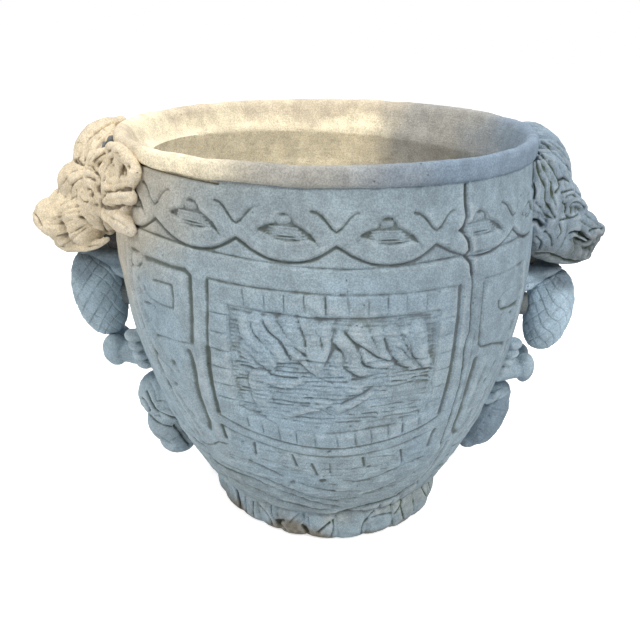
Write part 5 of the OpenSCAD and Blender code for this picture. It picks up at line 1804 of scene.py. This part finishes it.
class PLANTER_OT_inner(bpy.types.Operator):
    """Finish the mortar, steel and drain pipe that the planter holds inside"""

    bl_idname = "planter.inner"
    bl_label = "Mortar, Steel and Drain"

    def execute(self, context):
        # The mortar is coloured dark blue-grey as painted shadow where it shows between pieces
        mortar = concrete("Mortar", (0.16, 0.18, 0.185), (0.2, 0.215, 0.21), blotch_share=0.6)
        pipe, tree, skin = new_material("Grey drain pipe")
        scuffs = noise(tree, stretched(tree, object_place(tree), 60, 60, 260), 1.0, 4)
        worn = between(tree, scuffs, 0.35, 0.7)
        grey = blend(tree, worn, (0.17, 0.175, 0.18, 1), (0.27, 0.27, 0.26, 1))
        tree.links.new(grey, skin.inputs["Base Color"])
        tree.links.new(between(tree, scuffs, 0.3, 0.7, 0.42, 0.7), skin.inputs["Roughness"])
        steel, tree, skin = new_material("Reinforcing steel")
        where = object_place(tree)
        rust = between(tree, noise(tree, where, 70, 6, 0.7), 0.42, 0.6)
        rusty = blend(tree, rust, (0.13, 0.13, 0.135, 1), (0.19, 0.075, 0.03, 1))
        tree.links.new(rusty, skin.inputs["Base Color"])
        tree.links.new(sums(tree, "SUBTRACT", 1.0, rust), skin.inputs["Metallic"])
        tree.links.new(between(tree, rust, 0, 1, 0.45, 0.9), skin.inputs["Roughness"])
        grain = {"Strength": 0.6, "Distance": 0.0006, "Height": noise(tree, where, 500, 4)}
        tree.links.new(wire(tree, "ShaderNodeBump", grain).outputs[0], skin.inputs["Normal"])
        kinds = {"mortar": mortar, "drain": pipe}
        kinds.update((word, steel) for word in ("dowel", "hoops", "uprights", "bars"))
        for name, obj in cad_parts.items():
            kind = next((material for word, material in kinds.items() if word in name), None)
            if kind:
                for k in range(len(obj.material_slots)):
                    obj.material_slots[k].material = kind
                if not obj.material_slots:
                    obj.data.materials.append(kind)
        return {"FINISHED"}


# Lights: name, place, aim, size, power, colour
LIGHTS = (
    ("Key light", (1.2, -1.9, 2.8), (0, 0, 0.45), 0.8, 49, (1, 0.99, 0.97)),
    ("Left light", (-2.3, -0.9, 2.2), (-0.2, 0, 0.5), 1.0, 28, (1, 0.98, 0.94)),
    ("Top light", (0.3, -0.2, 3.4), (-0.05, 0.1, 0.5), 1.2, 30, (1, 0.99, 0.97)),
    ("Back light", (0.6, 2.6, 2.2), (0, 0, 0.5), 1.6, 22, (1, 1, 1)),
)
SENSOR = 36


def mixed(tree, share, a, b):
    """One shader where the share is 0, the other where it is 1."""
    return wire(tree, "ShaderNodeMixShader", {0: share, 1: a.outputs[0], 2: b.outputs[0]}).outputs[0]


class PLANTER_OT_stage(bpy.types.Operator):
    """Set the floor, the soft lights and the camera"""

    bl_idname = "planter.stage"
    bl_label = "Stage"

    def execute(self, context):
        bpy.ops.object.select_all(action="DESELECT")
        bpy.ops.mesh.primitive_plane_add(size=24, location=(0, 0, 0))
        floor = context.active_object
        floor.name = "studio_floor"
        material, tree, skin = new_material("Studio floor")
        tree.nodes.remove(skin)
        out = next(n for n in tree.nodes if n.bl_idname == "ShaderNodeOutputMaterial")
        path = wire(tree, "ShaderNodeLightPath").outputs
        seen = sums(tree, "MAXIMUM", path["Is Camera Ray"], path["Is Glossy Ray"])
        plain = wire(tree, "ShaderNodeBsdfDiffuse", {"Color": (0.82, 0.82, 0.82, 1)})
        glow = wire(tree, "ShaderNodeEmission", {"Color": (1, 1, 1, 1), "Strength": 0.62})
        both = wire(tree, "ShaderNodeAddShader", {0: plain.outputs[0], 1: glow.outputs[0]})
        tree.links.new(mixed(tree, seen, plain, both), out.inputs["Surface"])
        floor.data.materials.append(material)

        world = bpy.data.worlds.new("Soft room")
        context.scene.world = world
        world.use_nodes = True
        tree = world.node_tree
        tree.nodes.clear()
        path = wire(tree, "ShaderNodeLightPath").outputs
        clear = sums(tree, "MAXIMUM", path["Is Glossy Ray"], path["Is Transmission Ray"])
        seen = sums(tree, "MAXIMUM", path["Is Camera Ray"], clear)
        room = wire(tree, "ShaderNodeBackground", {"Color": (0.97, 0.985, 1.0, 1), "Strength": 0.6})
        white = wire(tree, "ShaderNodeBackground", {"Color": (1, 1, 1, 1), "Strength": 1.0})
        out = wire(tree, "ShaderNodeOutputWorld")
        tree.links.new(mixed(tree, seen, room, white), out.inputs["Surface"])

        for name, at, to, size, power, colour in LIGHTS:
            lamp = bpy.data.lights.new(name, "AREA")
            lamp.shape, lamp.size, lamp.energy, lamp.color = "DISK", size, power, colour
            obj = linked(name, lamp)
            obj.location = at
            obj.rotation_euler = (Vector(to) - Vector(at)).to_track_quat("-Z", "Y").to_euler()

        place, ahead, right, up = view()
        eye = bpy.data.cameras.new("Camera")
        eye.sensor_width = SENSOR
        eye.lens = FOCUS / PICTURE * SENSOR
        eye.shift_x = (PICTURE / 2 - CENTRE_X) / PICTURE
        eye.shift_y = (CENTRE_Y - PICTURE / 2) / PICTURE
        eye.clip_end = 60
        camera = linked("Camera", eye)
        matrix = Matrix((right, up, -ahead)).transposed().to_4x4()
        matrix.translation = place
        camera.matrix_world = matrix
        context.scene.camera = camera
        context.scene.view_settings.view_transform = "Standard"
        return {"FINISHED"}


class PLANTER_PT_panel(bpy.types.Panel):
    """Sizes, colours and pieces of the planter"""

    bl_idname = "PLANTER_PT_panel"
    bl_label = "Lion Head Planter"
    bl_space_type = "VIEW_3D"
    bl_region_type = "UI"
    bl_category = "Planter"

    def draw(self, context):
        layout = self.layout
        for group in (context.scene.planter_bowl, context.scene.planter_ornament):
            box = layout.box()
            for key in group.__annotations__:
                box.prop(group, key)
        column = layout.column(align=True)
        for operator in OPERATORS:
            column.operator(operator.bl_idname)


OPERATORS = (
    PLANTER_OT_bowl, PLANTER_OT_heads, PLANTER_OT_fruit, PLANTER_OT_foot, PLANTER_OT_inner, PLANTER_OT_stage,
)
CLASSES = (PlanterBowlSettings, PlanterOrnamentSettings, *OPERATORS, PLANTER_PT_panel)


def register():
    for cls in CLASSES:
        bpy.utils.register_class(cls)
    bpy.types.Scene.planter_bowl = bpy.props.PointerProperty(type=PlanterBowlSettings)
    bpy.types.Scene.planter_ornament = bpy.props.PointerProperty(type=PlanterOrnamentSettings)


def unregister():
    del bpy.types.Scene.planter_ornament
    del bpy.types.Scene.planter_bowl
    for cls in reversed(CLASSES):
        bpy.utils.unregister_class(cls)


def main():
    register()
    bpy.ops.planter.stage()
    bpy.ops.planter.bowl()
    bpy.ops.planter.heads()
    bpy.ops.planter.fruit()
    bpy.ops.planter.foot()
    bpy.ops.planter.inner()


if __name__ == "__main__":
    main()
